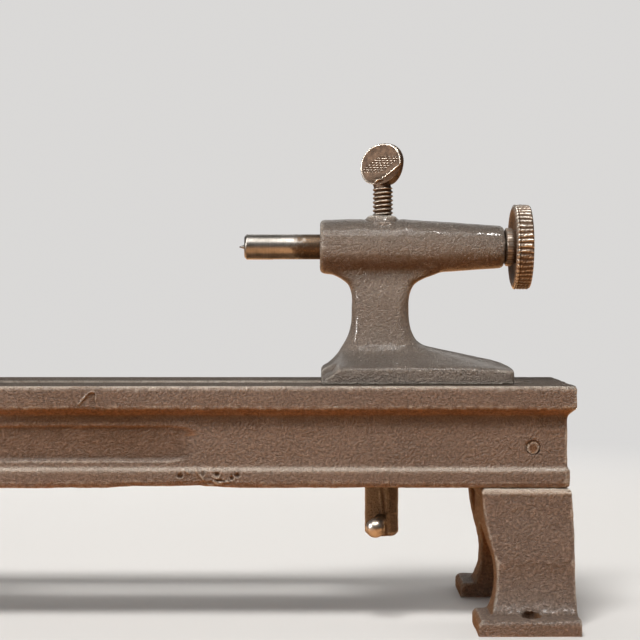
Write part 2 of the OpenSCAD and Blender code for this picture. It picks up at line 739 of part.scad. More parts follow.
// Tailstock
tail_rows = [
    [0, 18.4, 38.9, base_w / 2, 16],
    [3.4, 18.4, 38.9, base_w / 2, 16],
    [4.3, 17.9, 38.7, base_w / 2 - 0.1, 10],
    [5.3, 16.7, 37.2, base_w / 2 - 0.9, 5],
    [6.6, 15.3, 33.6, base_w / 2 - 3.2, 3.4],
    [8.6, 13.5, 23.8, base_w / 2 - 6.2, 2.9],
    [11.2, 11.8, 12.6, base_w / 2 - 8.3, 3],
    [14.2, 10.2, 9.6, 7.7, 3.4],
    [18, 9.3, 8.4, 7, 3.8],
    [22.5, 9.05, 8.1, 6.8, 4],
    [centre_h - 14.6, 9.1, 8.4, 6.8, 4],
    [centre_h - 11.4, 10.2, 9.8, 6.8, 4],
    [centre_h - 9.4, 13, 13.4, 6.8, 4],
    [centre_h - 7.4, barrel_left - 2.2, 18.5, 6.3, 4.5],
    [centre_h - 4.4, barrel_left - 2, 20, 5.4, 5]
];
left_face = tail_x - barrel_left;
right_face = tail_x + barrel_right;
bore_end = right_face - barrel_wall;
boss_r = 4.4;
boss_top = barrel_mid_r + 1.1;
journal_r = 3;
key_x = left_face + 5;
key_r = 0.9;
key_in = 0.8;                             // depth of the quill's keyway
retract = 18;                             // travel of the quill into the barrel
advance = 6;                              // travel of the quill out of the barrel

module barrel() {
    turned_x(concat(
        [[left_face, 0]],
        arc([left_face + 1.3, barrel_r - 1.3], 1.3, 180, 92, 4),
        [[tail_x - 4, barrel_mid_r], [tail_x + 6, barrel_mid_r]],
        arc([right_face - 1.5, barrel_end_r - 1.5], 1.5, 84, 0, 5),
        [[right_face, 0]]));
}

module tailstock_body() {
    color(PAINT) difference() {
        union() {
            translate([tail_x, 0, bed_top]) column_of_sections(tail_rows, 28, 2);
            translate([0, 0, axis_z]) barrel();
            translate([tail_x, 0, axis_z]) rotate_extrude()
                polygon(concat([[0, 4.5], [boss_r + 1.4, 4.5], [boss_r + 1.4, barrel_mid_r - 1.2]],
                    [[boss_r, boss_top - 0.8], [boss_r - 0.8, boss_top], [0, boss_top]]));
            translate([tail_x - 15, -slot_w / 2 + slip, bed_top - tongue_deep])
                cube([39, slot_w - 2 * slip, tongue_deep + fit]);
        }
        translate([0, 0, axis_z]) {
            rod_x(left_face - through, bore_end, quill_r + run);
            rod_x(bore_end - through, right_face + through, journal_r + run);
        }
        translate([tail_x + lock_right, 0, axis_z]) cylinder(h = boss_top + through, r = bolt_r + run);
        translate([key_x, 0, axis_z - barrel_r - through]) cylinder(h = barrel_r, r = key_r + fit);
        translate([tail_x, 0, bed_top - tongue_deep - through])
            cylinder(h = tongue_deep + through + stud_in, r = bolt_r + run);
    }
}

stud_in = 14;                             // how far the clamp stud screws up into the tailstock
quill_x = left_face - quill_out;
quill_end = quill_x + quill_l;
thrust_l = 3;
screw_tip = quill_end - 17;
point_r = 0.6;

module quill() {
    color(STEEL) translate([0, 0, axis_z]) difference() {
        turned_x([[quill_x - 1.6, 0.15], [quill_x - 1.4, 0.35], [quill_x, point_r],
                  [quill_x, quill_r - 0.7], [quill_x + 0.7, quill_r],
                  [quill_end - 0.4, quill_r], [quill_end, quill_r - 0.4], [quill_end, 0],
                  [quill_x - 1.6, 0]]);
        rod_x(screw_tip - retract - 0.6, quill_end + through, feed_r + run);
        translate([key_x - retract - key_r - 0.4, -key_r - fit, -quill_r - through])
            cube([retract + advance + 2 * key_r + 0.8, 2 * (key_r + fit), key_in + through]);
    }
}

module quill_key_pin() {
    color(STEEL) translate([key_x, 0, axis_z - barrel_r + 0.4])
        cylinder(h = barrel_r - 0.4 - quill_r + key_in - 0.15, r = key_r);
}

hub_x = right_face + wheel_gap;
hub_r = 6;
rim_x = hub_x + 2.9;
wheel_end = rim_x + rim_w - 0.6;
pin_x = rim_x + rim_w / 2;
pin_r = 0.8;

module feed_screw() {
    color(STEEL) translate([0, 0, axis_z]) difference() {
        turned_x([[screw_tip, 0], [screw_tip, feed_r - 0.5], [screw_tip + 0.5, feed_r],
                  [bore_end - 0.1 - thrust_l, feed_r], [bore_end - 0.1 - thrust_l, quill_r - 0.2],
                  [bore_end - 0.1, quill_r - 0.2], [bore_end - 0.1, journal_r], [hub_x, journal_r],
                  [hub_x, feed_r], [wheel_end - 0.2, feed_r], [wheel_end + 0.2, feed_r - 0.4],
                  [wheel_end + 0.2, 0]]);
        translate([pin_x, 0, 0]) cylinder(h = 3 * feed_r, r = pin_r, center = true);
    }
}

// The rim's outline, seen along the axis: ridges with rounded crests and narrow furrows
module ridged_rim(r) {
    n = 4;
    polygon([for (i = [0:ridges - 1], k = [0:n - 1])
        let (a = 360 * (i + k / n) / ridges, h = abs(cos(180 * k / n)))
        (r - 0.42 * (1 - h)) * [cos(a), sin(a)]]);
}

module handwheel() {
    edge = 0.75;                          // the rim's chamfer, which clears the ridges' crests
    color(WORN) translate([0, 0, axis_z]) difference() {
        union() {
            turned_x([[hub_x, 0], [hub_x, hub_r - 0.7], [hub_x + 0.4, hub_r], [hub_x + 1, hub_r],
                      [hub_x + 1.6, hub_r - 0.6], [rim_x + 1.2, hub_r - 0.8],
                      [rim_x + 1.2, wheel_r - 1.4], [rim_x + 3, wheel_r - 1.4], [rim_x + 3, hub_r],
                      [wheel_end, hub_r - 0.8], [wheel_end, 0]]);
            intersection() {
                translate([rim_x - 1, 0, 0]) rotate([90, 0, 90]) linear_extrude(rim_w + 2)
                    ridged_rim(wheel_r);
                turned_x([[rim_x, wheel_r - 2], [rim_x, wheel_r + 0.1 - edge], [rim_x + edge, wheel_r + 0.1],
                          [rim_x + rim_w - edge, wheel_r + 0.1], [rim_x + rim_w, wheel_r + 0.1 - edge],
                          [rim_x + rim_w, wheel_r - 2]]);
            }
        }
        rod_x(hub_x - through, wheel_end + through, feed_r + fit);
        translate([pin_x, 0, 0]) cylinder(h = 3 * hub_r, r = pin_r + fit, center = true);
    }
}

module handwheel_pin() {
    color(STEEL) translate([pin_x, 0, axis_z])
        cylinder(h = 2 * hub_r - 0.4, r = pin_r, center = true);
}

tip_gap = 0.05;

module quill_lock_screw() {
    neck = boss_top - quill_r + 8.2;
    translate([tail_x + lock_right, 0, axis_z + quill_r + tip_gap]) rotate([0, 0, head_turn])
        thumb_screw(neck);
}

module tail_clamp_stud() {
    foot = nut_foot + 5;
    color(STEEL) translate([tail_x, 0, foot])
        cylinder(h = bed_top + stud_in - 0.5 - foot, r = bolt_r);
}

module tail_clamp_plate() { clamp_plate(tail_x); }
module tail_lever_nut() { lever_nut(tail_x); }
module tail_lever() { ball_lever(tail_x); }

bed();
left_leg();
right_leg();
leg_pins();
headstock_body();
front_bush();
rear_bush();
oil_cups();
headstock_bolts();
headstock_clamp_plates();
spindle();
step_pulley();
pulley_set_screw();
thrust_collar();
collar_set_screw();
spur_centre();
rest_base();
rest_clamp_bolt();
rest_washer();
rest_clamp_plate();
rest_lever_nut();
rest_lever();
tool_rest();
rest_lock_screw();
tailstock_body();
quill();
quill_key_pin();
feed_screw();
handwheel();
handwheel_pin();
quill_lock_screw();
tail_clamp_stud();
tail_clamp_plate();
tail_lever_nut();
tail_lever();
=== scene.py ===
"""Looks of a small bench lathe for wood turning, laid out as a Blender add-on and run as a script.

Every piece is made in metres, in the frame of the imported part: +X runs along the bed from the
headstock to the tailstock, -Y is the operator's side, +Z is up, and the bench is at Z = 0. Sizes
that a function takes as plain numbers are in millimetres.
"""

import json
import math

import bmesh
import bpy
import numpy as np
from mathutils import Matrix, Vector

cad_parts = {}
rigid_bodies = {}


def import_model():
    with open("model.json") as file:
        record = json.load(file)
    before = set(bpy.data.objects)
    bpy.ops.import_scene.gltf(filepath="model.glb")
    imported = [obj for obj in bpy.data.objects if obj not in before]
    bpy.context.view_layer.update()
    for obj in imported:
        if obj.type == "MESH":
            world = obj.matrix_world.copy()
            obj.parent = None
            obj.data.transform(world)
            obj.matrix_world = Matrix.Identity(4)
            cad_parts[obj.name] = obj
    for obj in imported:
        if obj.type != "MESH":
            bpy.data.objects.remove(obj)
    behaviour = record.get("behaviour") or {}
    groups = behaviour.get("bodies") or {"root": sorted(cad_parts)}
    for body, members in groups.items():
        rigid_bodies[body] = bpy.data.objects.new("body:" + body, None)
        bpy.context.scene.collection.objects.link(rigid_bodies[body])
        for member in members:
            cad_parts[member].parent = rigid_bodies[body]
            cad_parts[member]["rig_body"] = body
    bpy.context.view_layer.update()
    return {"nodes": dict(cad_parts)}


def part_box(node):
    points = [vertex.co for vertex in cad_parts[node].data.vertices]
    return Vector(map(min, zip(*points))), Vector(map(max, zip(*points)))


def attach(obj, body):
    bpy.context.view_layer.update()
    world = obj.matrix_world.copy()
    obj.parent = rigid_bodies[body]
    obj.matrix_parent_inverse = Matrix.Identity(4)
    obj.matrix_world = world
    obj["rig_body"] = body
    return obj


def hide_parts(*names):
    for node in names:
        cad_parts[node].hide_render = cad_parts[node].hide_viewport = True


bl_info = {
    "name": "Bench Lathe",
    "version": (1, 0, 0),
    "blender": (4, 5, 0),
    "location": "3D View > Sidebar > Lathe",
    "description": "Dresses a small cast bench lathe with detailed pieces and finishes",
    "category": "Add Mesh",
}

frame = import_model()

MM = 0.001


# Places read from the frame

def middle(node):
    """Centre of a node's box."""
    low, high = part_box(node)
    return (low + high) / 2


def half_size(node):
    """Half of the size of a node's box."""
    low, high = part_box(node)
    return (high - low) / 2


def left_end(node):
    """The place where a node that lies along the lathe's axis starts."""
    return Matrix.Translation((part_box(node)[0].x, 0, AXIS_Z))


def length_in_mm(node):
    """Length of a node along the bed."""
    return 2 * half_size(node).x / MM


BED_LOW, BED_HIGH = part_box("bed")
BED_TOP = BED_HIGH.z
AXIS_Z = middle("feed_screw").z
AXIS = (0.0, 0.0, AXIS_Z)
TAIL_X = middle("tail_clamp_stud").x
REST_X = middle("rest_washer").x
# The machining of the rest's post and boss is centred 4.7 mm in front of the lock screw's tip, where
# the post's axis is 4.8 mm behind it. So it reaches only the front line of the post and of the boss.
BEFORE_TIP = 0.0047
REST_CENTRE = (REST_X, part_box("rest_lock_screw")[1].y - BEFORE_TIP, 0)


# Numbers

def rise(x, low, high):
    """Rises smoothly from 0 at low to 1 at high."""
    t = np.clip((np.asarray(x, dtype=float) - low) / (high - low), 0.0, 1.0)
    return t * t * (3.0 - 2.0 * t)


def hump(x, middle_of, width):
    """A soft bump of height 1 round a middle."""
    return np.exp(-((np.asarray(x, dtype=float) - middle_of) / width) ** 2)


def read_points(mesh, what="co"):
    """The mesh's points, or with "normal" their normals, as an array of rows."""
    flat = np.empty(len(mesh.vertices) * 3)
    mesh.vertices.foreach_get(what, flat)
    return flat.reshape(-1, 3)


def read_edges(mesh):
    """The mesh's edges as rows of two points, and how many edges each point has."""
    edges = np.empty(len(mesh.edges) * 2, dtype=np.int64)
    mesh.edges.foreach_get("vertices", edges)
    return edges.reshape(-1, 2), np.maximum(np.bincount(edges, minlength=len(mesh.vertices)), 1)


def write_points(mesh, points):
    """Puts an array of rows back as the mesh's points."""
    mesh.vertices.foreach_set("co", points.ravel())
    mesh.update()


def reshape(mesh, *changes):
    """Passes the mesh's points through functions that change them, and gives the points."""
    points = read_points(mesh)
    for change in changes:
        change(points)
    write_points(mesh, points)
    return points


def write_layer(mesh, name, values):
    """Keeps one number per point on the mesh, for its finish to read."""
    layer = mesh.attributes.new(name, "FLOAT", "POINT")
    layer.data.foreach_set("value", np.full(len(mesh.vertices), values, dtype=float))


def moved(points, matrix):
    """Points moved by a matrix."""
    turn = np.array(matrix.to_3x3())
    return points @ turn.T + np.array(matrix.translation)


# Making and keeping pieces

def new_piece(name, mesh):
    """A new object in the scene."""
    piece = bpy.data.objects.new(name, mesh)
    bpy.context.scene.collection.objects.link(piece)
    return piece


def keep_piece(piece, finish, *nodes):
    """Gives a piece its finish, hides the nodes that it stands for, and hangs it on the CAD body
    that carries them.
    """
    slot, body = SLOTS[finish], frame["nodes"][nodes[0]]["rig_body"]
    piece.data.materials.clear()
    piece.data.materials.append(finish_named(finish))
    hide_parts(*nodes)
    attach(piece, body)


def modify(piece, kind, **settings):
    """Adds a modifier with its settings."""
    modifier = piece.modifiers.new(kind.title(), kind)
    for name, value in settings.items():
        setattr(modifier, name, value)


def apply_modifiers(piece):
    """Turns the piece's modifiers into its mesh."""
    bpy.context.view_layer.update()
    shaped = piece.evaluated_get(bpy.context.evaluated_depsgraph_get())
    mesh = bpy.data.meshes.new_from_object(shaped)
    piece.modifiers.clear()
    old = piece.data
    piece.data = mesh
    bpy.data.meshes.remove(old)
    return mesh


def smooth_faces(mesh, sharp_degrees):
    """Shades the mesh smoothly, apart from edges sharper than the angle."""
    mesh.polygons.foreach_set("use_smooth", [True] * len(mesh.polygons))
    mesh.set_sharp_from_angle(angle=math.radians(sharp_degrees))


def edit_mesh(mesh, change):
    """Passes the mesh through a bmesh that a function changes, and gives it back."""
    shell = bmesh.new()
    shell.from_mesh(mesh)
    change(shell)
    shell.to_mesh(mesh)
    shell.free()
    return mesh


def solid_copy(node, flatten=False):
    """A copy of a CAD solid's mesh, its points joined and, if asked, its flat faces made whole."""

    def join(shell):
        bmesh.ops.remove_doubles(shell, verts=shell.verts, dist=1e-6)
        if flatten:
            bmesh.ops.dissolve_limit(
                shell, angle_limit=math.radians(0.5), use_dissolve_boundaries=False,
                verts=shell.verts, edges=shell.edges,
            )

    return edit_mesh(frame["nodes"][node].data.copy(), join)


def joined(name, parts):
    """One piece from several."""

    def gather(shell):
        for part in parts:
            shell.from_mesh(part.data)

    mesh = edit_mesh(bpy.data.meshes.new(name), gather)
    for part in parts:
        bpy.data.objects.remove(part)
    smooth_faces(mesh, 40)
    return new_piece(name, mesh)


def fillet(outline, steps=4):
    """Rounds an outline's corners. A row is (along, radius) or (along, radius, corner radius)."""
    rounded = []
    for i, row in enumerate(outline):
        here = np.array(row[:2], dtype=float)
        size = row[2] if len(row) > 2 else 0.0
        if size <= 0.0 or i == 0 or i == len(outline) - 1:
            rounded.append(here)
            continue
        back = np.array(outline[i - 1][:2], dtype=float) - here
        ahead = np.array(outline[i + 1][:2], dtype=float) - here
        back_length, ahead_length = np.linalg.norm(back), np.linalg.norm(ahead)
        back, ahead = back / back_length, ahead / ahead_length
        half = math.acos(float(np.clip(back @ ahead, -1.0, 1.0))) / 2
        reach = min(size / math.tan(half), 0.49 * back_length, 0.49 * ahead_length)
        first, last = here + back * reach, here + ahead * reach
        for k in range(steps + 1):
            t = k / steps
            rounded.append((1 - t) ** 2 * first + 2 * t * (1 - t) * here + t * t * last)
    return rounded


def finer(rows, step, low, high):
    """Adds rows between low and high along an outline, at most a step apart."""
    rows = [np.array(row, dtype=float) for row in rows]
    dense = [rows[0]]
    for first, second in zip(rows, rows[1:]):
        inside = low <= min(first[0], second[0]) and max(first[0], second[0]) <= high
        count = max(1, math.ceil(np.linalg.norm(second - first) / step)) if inside else 1
        dense += [first + (second - first) * k / count for k in range(1, count + 1)]
    return dense


def turned_piece(name, rows, place, segments, sharp_degrees=35, radius_at=None):
    """A solid of revolution about X, moved by a matrix.

    Rows are (along, radius) in mm, and radius_at may shape the radius round each ring.
    """
    points, faces, rings = [], [], []
    angles = 2 * math.pi * np.arange(segments) / segments
    for along, radius in rows:
        if radius < 1e-4:
            rings.append([len(points)])
            points.append((along * MM, 0.0, 0.0))
            continue
        radii = radius_at(along, radius, angles) if radius_at else np.full(segments, radius)
        rings.append(list(range(len(points), len(points) + segments)))
        points += [
            (along * MM, r * MM * math.cos(a), r * MM * math.sin(a)) for r, a in zip(radii, angles)
        ]
    for first, second in zip(rings, rings[1:]):
        if len(first) == len(second) == 1:
            continue
        for k in range(segments):
            n = (k + 1) % segments
            corners = [first[i % len(first)] for i in (k, n)]
            corners += [second[i % len(second)] for i in (n, k)]
            faces.append(tuple(dict.fromkeys(corners)))
    mesh = bpy.data.meshes.new(name)
    mesh.from_pydata(points, [], faces)
    mesh.update()
    edit_mesh(mesh, lambda shell: bmesh.ops.recalc_face_normals(shell, faces=shell.faces))
    smooth_faces(mesh, sharp_degrees)
    mesh.transform(place)
    return new_piece(name, mesh)


UPRIGHT = Matrix.Rotation(math.radians(-90), 4, "Y")     # stands a piece made along X up along Z
EASED_ANGLE = 32     # an edge sharper than this, in degrees, is broken by a bevel


def keep_eased(finish, width, nodes, ending="_eased"):
    """Keeps CAD solids with their edges broken by a small bevel, as a file leaves them."""
    for node in nodes:
        piece = new_piece(node + ending, solid_copy(node, flatten=True))
        modify(
            piece, "BEVEL", width=width * MM, segments=2,
            limit_method="ANGLE", angle_limit=math.radians(EASED_ANGLE),
        )
        smooth_faces(apply_modifiers(piece), EASED_ANGLE)
        keep_piece(piece, finish, node)


# The surface of castings

FLAT_REACH = 0.3      # how far from a machined level, in mm, points are still drawn on to it
BORE_REACH = 0.35     # the same for a bore's wall


def neighbours_mean(values, edges, count):
    """The mean of each point's neighbours."""
    total = np.zeros_like(values)
    np.add.at(total, edges[:, 0], values[edges[:, 1]])
    np.add.at(total, edges[:, 1], values[edges[:, 0]])
    return total / (count if values.ndim == 1 else count[:, None])


def bend_of(mesh, passes=2, percent=97):
    """How much the surface bulges at each point: up to 1 on edges, down to -1 in corners."""
    points, (edges, count) = read_points(mesh), read_edges(mesh)
    inward = points - neighbours_mean(points, edges, count)
    bend = (inward * read_points(mesh, "normal")).sum(1)
    for _ in range(passes):
        bend = (bend + neighbours_mean(bend, edges, count)) / 2
    return np.clip(bend / (np.percentile(np.abs(bend), percent) + 1e-9), -1.0, 1.0)


def soften(mesh, points, weight, passes):
    """Smooths the points by their weights."""
    edges, count = read_edges(mesh)
    for _ in range(passes):
        points += (neighbours_mean(points, edges, count) - points) * weight[:, None]


def roughen(piece, uneven):
    """Makes a surface uneven by rows of (size of the lumps, depth)."""
    for k, (size, depth) in enumerate(uneven):
        lumps = bpy.data.textures.new(f"{piece.name}_{k}", "CLOUDS")
        lumps.noise_scale = size * MM
        lumps.noise_depth = 2
        modify(
            piece, "DISPLACE", texture=lumps, texture_coords="LOCAL",
            strength=depth * MM, mid_level=0.5,
        )
    smooth_faces(apply_modifiers(piece), 180)


def cast_skin(node, name, voxel, smoothing, uneven):
    """A casting's surface from its CAD solid: its edges soften, and its faces turn uneven."""
    piece = new_piece(name, solid_copy(node))
    modify(piece, "REMESH", mode="VOXEL", voxel_size=voxel * MM)
    modify(piece, "SMOOTH", factor=0.5, iterations=smoothing)
    roughen(piece, uneven)
    return piece


def true_flat(points, height):
    """Machines the points near a height level."""
    points[np.abs(points[:, 2] - height) < FLAT_REACH * MM, 2] = height


def true_bore(points, radius, centre, along, low, high):
    """Machines the wall of a bore, or a journal, round an axis, and says which points it is."""
    across = [i for i in range(3) if i != along]
    offset = points[:, across] - np.array([centre[i] for i in across])
    away = np.linalg.norm(offset, axis=1)
    near = (points[:, along] > low) & (points[:, along] < high)
    near &= np.abs(away - radius) < BORE_REACH * MM
    scale = radius / np.maximum(away[near], 1e-9)
    for k, i in enumerate(across):
        points[near, i] = centre[i] + offset[near, k] * scale
    return near


def finish_casting(piece, bare=0.0, worn=0.0, grime_and_bounce=-1.0, dust_and_painted_light=0.0):
    """Marks a casting's edges and undersides, its grime, painted shade and highlights, and where its
    paint is rubbed or oily.
    """
    mesh = piece.data
    under = -read_points(mesh, "normal")[:, 2]
    # Marks given here shift the edges: painted shade, with dust, darkens them, and a painted
    # highlight lightens them.
    write_layer(mesh, "edge", np.clip(bend_of(mesh) - dust_and_painted_light, -1.0, 1.0))
    # The undersides and the marks given here get a warm brown tint: grime and painted reflected
    # light.
    write_layer(mesh, "under", np.maximum(under, grime_and_bounce))
    write_layer(mesh, "bare", bare)
    write_layer(mesh, "worn", worn)


# Finishes

class Nodes:
    """Builds a node tree with short calls."""

    def __init__(self, tree):
        self.tree = tree

    def put(self, socket, value):
        """Joins a node's output to the socket, or sets its value. A colour is three numbers."""
        if isinstance(value, bpy.types.NodeSocket):
            self.tree.links.new(value, socket)
        elif value is not None:
            socket.default_value = (*value, 1.0) if socket.type == "RGBA" else value

    def node(self, kind, inputs=None, **settings):
        """The outputs of a new node, made with its settings and inputs."""
        node = self.tree.nodes.new(kind)
        for name, value in settings.items():
            setattr(node, name, value)
        for key, value in (inputs or {}).items():
            self.put(node.inputs[key], value)
        return node.outputs

    def camera_ray(self):
        """1 for the rays by which the camera sees a background, 0 for the background's light."""
        return self.node("ShaderNodeLightPath")["Is Camera Ray"]


class Finish(Nodes):
    """Builds one material's nodes."""

    def __init__(self, name):
        self.material = bpy.data.materials.new(name)
        self.material.use_nodes = True
        super().__init__(self.material.node_tree)
        self.shader = self.tree.nodes["Principled BSDF"]
        self.place = self.node("ShaderNodeTexCoord")["Object"]

    def speckle(self, size, detail=3.0, rough=0.55, place=None):
        """Cloudy noise whose lumps are about a size across."""
        return self.node("ShaderNodeTexNoise", {
            "Vector": place or self.place, "Scale": 1.0 / (size * MM),
            "Detail": detail, "Roughness": rough,
        })["Fac"]

    def tool_rings(self, spacing):
        """Noise drawn out round the X axis, like the rings that a turning tool leaves."""
        scale = (1.0 / spacing, 0.02, 0.02)
        place = self.node("ShaderNodeMapping", {"Vector": self.place, "Scale": scale})["Vector"]
        return self.speckle(1.0, 2.0, place=place)

    def grains(self, size, uneven):
        """Distance to the nearest of many grains, whose places are stirred."""
        inputs = {"Vector": self.place, "Scale": 0.6 / (size * MM)}
        stir = self.node("ShaderNodeTexNoise", inputs)["Color"]
        inputs = {0: stir, 1: (uneven * size * MM * 2,) * 3, 2: self.place}
        place = self.node("ShaderNodeVectorMath", inputs, operation="MULTIPLY_ADD")[0]
        inputs = {"Vector": place, "Scale": 1.0 / (size * MM)}
        return self.node("ShaderNodeTexVoronoi", inputs)["Distance"]

    def layer(self, name):
        """A number kept on the mesh's points."""
        return self.node("ShaderNodeAttribute", attribute_name=name)["Fac"]

    def along(self, axis):
        """The place along one axis, in metres."""
        return self.node("ShaderNodeSeparateXYZ", {"Vector": self.place})[axis]

    def ease(self, value, low, high, to_low=0.0, to_high=1.0):
        """Maps low to high smoothly on to another range."""
        inputs = {
            "Value": value, "From Min": low, "From Max": high, "To Min": to_low, "To Max": to_high,
        }
        return self.node("ShaderNodeMapRange", inputs, interpolation_type="SMOOTHSTEP")["Result"]

    def sum(self, kind, first, second):
        """Arithmetic on two values."""
        return self.node("ShaderNodeMath", {0: first, 1: second}, operation=kind)[0]

    def times(self, first, second):
        """The product of two values."""
        return self.sum("MULTIPLY", first, second)

    def blend(self, amount, first, second):
        """Blends two colours."""
        return self.node("ShaderNodeMix", {0: amount, 6: first, 7: second}, data_type="RGBA")[2]

    def over(self, tone, *coats):
        """Lays coats of (amount, colour) over a colour, one after another."""
        for amount, colour in coats:
            tone = self.blend(amount, tone, colour)
        return tone

    def relief(self, under, *bumps):
        """Lays bumps of (height, depth) over the relief under them."""
        for height, depth in bumps:
            inputs = {"Distance": depth * MM, "Height": height, "Normal": under}
            under = self.node("ShaderNodeBump", inputs)["Normal"]
        return under

    def done(self, colour, roughness, metallic, normal=None, **sockets):
        """Feeds the shader and gives the material."""
        sockets.update(Base_Color=colour, Roughness=roughness, Metallic=metallic, Normal=normal)
        for name, value in sockets.items():
            self.put(self.shader.inputs[name.replace("_", " ")], value)
        return self.material


def shade(colour, factor):
    """A colour made lighter or darker."""
    return tuple(min(1.0, channel * factor) for channel in colour)


def cast_paint(name, colour, grain, depth, rough, coat, grime, mottle):
    """Paint over a sand casting: round grains, grime and painted warm reflection beneath, painted
    shade on top, dust and painted shade in corners, edges rubbed and painted bright.
    """
    f = Finish(name)
    coat_weight, coat_roughness = coat
    edge, under = f.layer("edge"), f.layer("under")
    cells = f.grains(grain, 0.5)
    bumps = f.speckle(grain * 1.15, 2.0, 0.6)
    grit = f.speckle(grain * 0.55, 2.0, 0.6)
    lumps = f.speckle(grain * 9.0)

    def patchy(mask, low, least):
        return f.times(mask, f.ease(lumps, low, 0.6, least, 1.0))

    # Painted shade: faces that look up are painted darker.
    top = patchy(f.ease(under, -0.97, -0.40, 1.0, 0.0), 0.2, 0.75)
    # Faces that look down get a warm brown tint: grime and painted warm reflected light.
    beneath = patchy(f.ease(under, 0.15, 0.75), 0.25, 0.7)
    # Corners are darkened with dust and painted shade; edges that stand out are lightened by rubbed
    # paint and painted highlight.
    corner = patchy(f.ease(edge, -0.85, -0.12, 1.0, 0.0), 0.25, 0.45)
    rub_and_highlight = patchy(f.ease(edge, 0.30, 1.0), 0.30, 0.35)
    worn = patchy(f.layer("worn"), 0.20, 0.7)
    bare = f.times(f.layer("bare"), f.ease(grit, 0.34, 0.54, 0.45, 1.0))
    tone = f.over(
        f.blend(f.ease(f.speckle(26.0), 0.3, 0.7), shade(colour, 0.90), shade(colour, 1.10)),
        # The grain's tone follows its relief, darker in its hollows and lighter on its tops: painted
        # shade and highlight.
        (f.ease(cells, 0.35, 0.75, 0.0, 0.40), shade(colour, 0.55)),
        (f.ease(cells, 0.02, 0.24, 0.25, 0.0), shade(colour, 1.6)),
        (f.ease(grit, 0.30, 0.48, 0.30, 0.0), shade(colour, 0.5)),
        (f.ease(bumps, 0.34, 0.50, 0.50 * mottle, 0.0), shade(colour, 0.45)),
        (f.ease(bumps, 0.52, 0.66, 0.0, 0.38 * mottle), shade(colour, 1.9)),
        (f.times(top, 0.62), shade(colour, 0.36)),
        (f.times(beneath, 0.92), grime),
        (f.times(beneath, f.ease(bumps, 0.36, 0.60, 0.65, 0.0)), shade(grime, 0.4)),
        (f.times(corner, 0.62), rgb("dust")),
        (f.times(rub_and_highlight, f.ease(grit, 0.34, 0.56, 0.35, 0.85)), rgb("rubbed_steel")),
        (f.times(worn, 0.75), rgb("oiled")),
        (bare, shade(rgb("rubbed_steel"), 1.18)),
    )
    wet = f.relief(None, (lumps, depth * 0.8), (f.speckle(grain * 2.6), depth * 0.4))
    normal = f.relief(
        wet,
        (f.ease(cells, 0.0, 0.75, 1.0, 0.0), depth * 0.40),
        (f.ease(bumps, 0.30, 0.70), depth * 1.50),
        (f.ease(grit, 0.30, 0.70), depth * 1.20),
    )
    return f.done(
        tone, f.ease(grit, 0.3, 0.7, rough - 0.05, rough + 0.07),
        f.ease(bare, 0.0, 1.0, 0.25, 0.9), normal,
        Coat_Normal=wet, Coat_Weight=f.ease(worn, 0.0, 0.5, coat_weight, 0.0),
        Coat_Roughness=coat_roughness, Specular_IOR_Level=f.ease(worn, 0.0, 0.5, 0.35, 0.10),
    )


def turned_steel(name, bright, dull, rough, rings=0.18, tarnish=None):
    """Steel with fine tool rings, and brown tarnish where it is given as (clear X, brown X)."""
    f = Finish(name)
    ring = f.tool_rings(rings)
    spots = f.speckle(0.7)
    tone = f.over(
        f.blend(f.ease(f.speckle(3.5, 4.0), 0.35, 0.65), dull, bright),
        (f.ease(ring, 0.35, 0.65, 0.30, 0.0), shade(dull, 0.7)),
        (f.ease(spots, 0.60, 0.78, 0.0, 0.2), shade(dull, 0.5)),
    )
    metallic = 0.95
    roughness = f.ease(spots, 0.35, 0.7, rough, rough + 0.04)
    if tarnish:
        clear, full = tarnish
        uneven = f.times(f.sum("SUBTRACT", f.speckle(2.6, 4.0), 0.5), 0.014)
        start = f.sum("ADD", f.along("X"), uneven)
        brown = f.ease(start, clear, full)
        near = f.ease(start, clear - 0.005, clear - 0.001)
        scar = f.times(near, f.ease(brown, 0.0, 0.7, 1.0, 0.0))
        flecks = f.ease(f.speckle(0.55), 0.50, 0.66)
        tone = f.over(
            tone,
            (f.times(scar, 0.6), shade(bright, 1.25)),
            (f.times(brown, 0.93), rgb("tarnish")),
            (f.times(f.times(flecks, brown), 0.4), shade(rgb("tarnish"), 3.5)),
        )
        metallic = f.ease(brown, 0.0, 1.0, 0.95, 0.8)
        roughness = f.sum("ADD", roughness, f.times(brown, 0.14))
    return f.done(tone, roughness, metallic, f.relief(None, (ring, 0.006), (spots, 0.0005)))


def browned_steel(name, brown, bright, grime, mottle=4.0, metal=0.40):
    """Old steel: brown in the hollows, rubbed bright on whatever stands proud."""
    f = Finish(name)
    proud = f.layer("edge")
    blotch = f.speckle(mottle, 4.0)
    spots = f.speckle(0.5)
    rub_and_highlight = f.times(f.ease(proud, 0.0, 0.75), f.ease(blotch, 0.3, 0.55, 0.45, 1.0))
    tone = f.over(
        f.blend(f.ease(blotch, 0.3, 0.7), shade(brown, 0.65), shade(brown, 1.5)),
        (f.ease(spots, 0.5, 0.72, 0.0, 0.6), grime),
        (f.times(rub_and_highlight, 0.9), bright),
        (f.ease(proud, -0.9, -0.05, 0.85, 0.0), grime),
    )
    metallic = f.ease(rub_and_highlight, 0.0, 0.7, metal, 0.95)
    normal = f.relief(None, (spots, 0.05), (f.speckle(1.3), 0.07))
    return f.done(tone, f.ease(rub_and_highlight, 0.0, 1.0, 0.60, 0.32), metallic, normal)


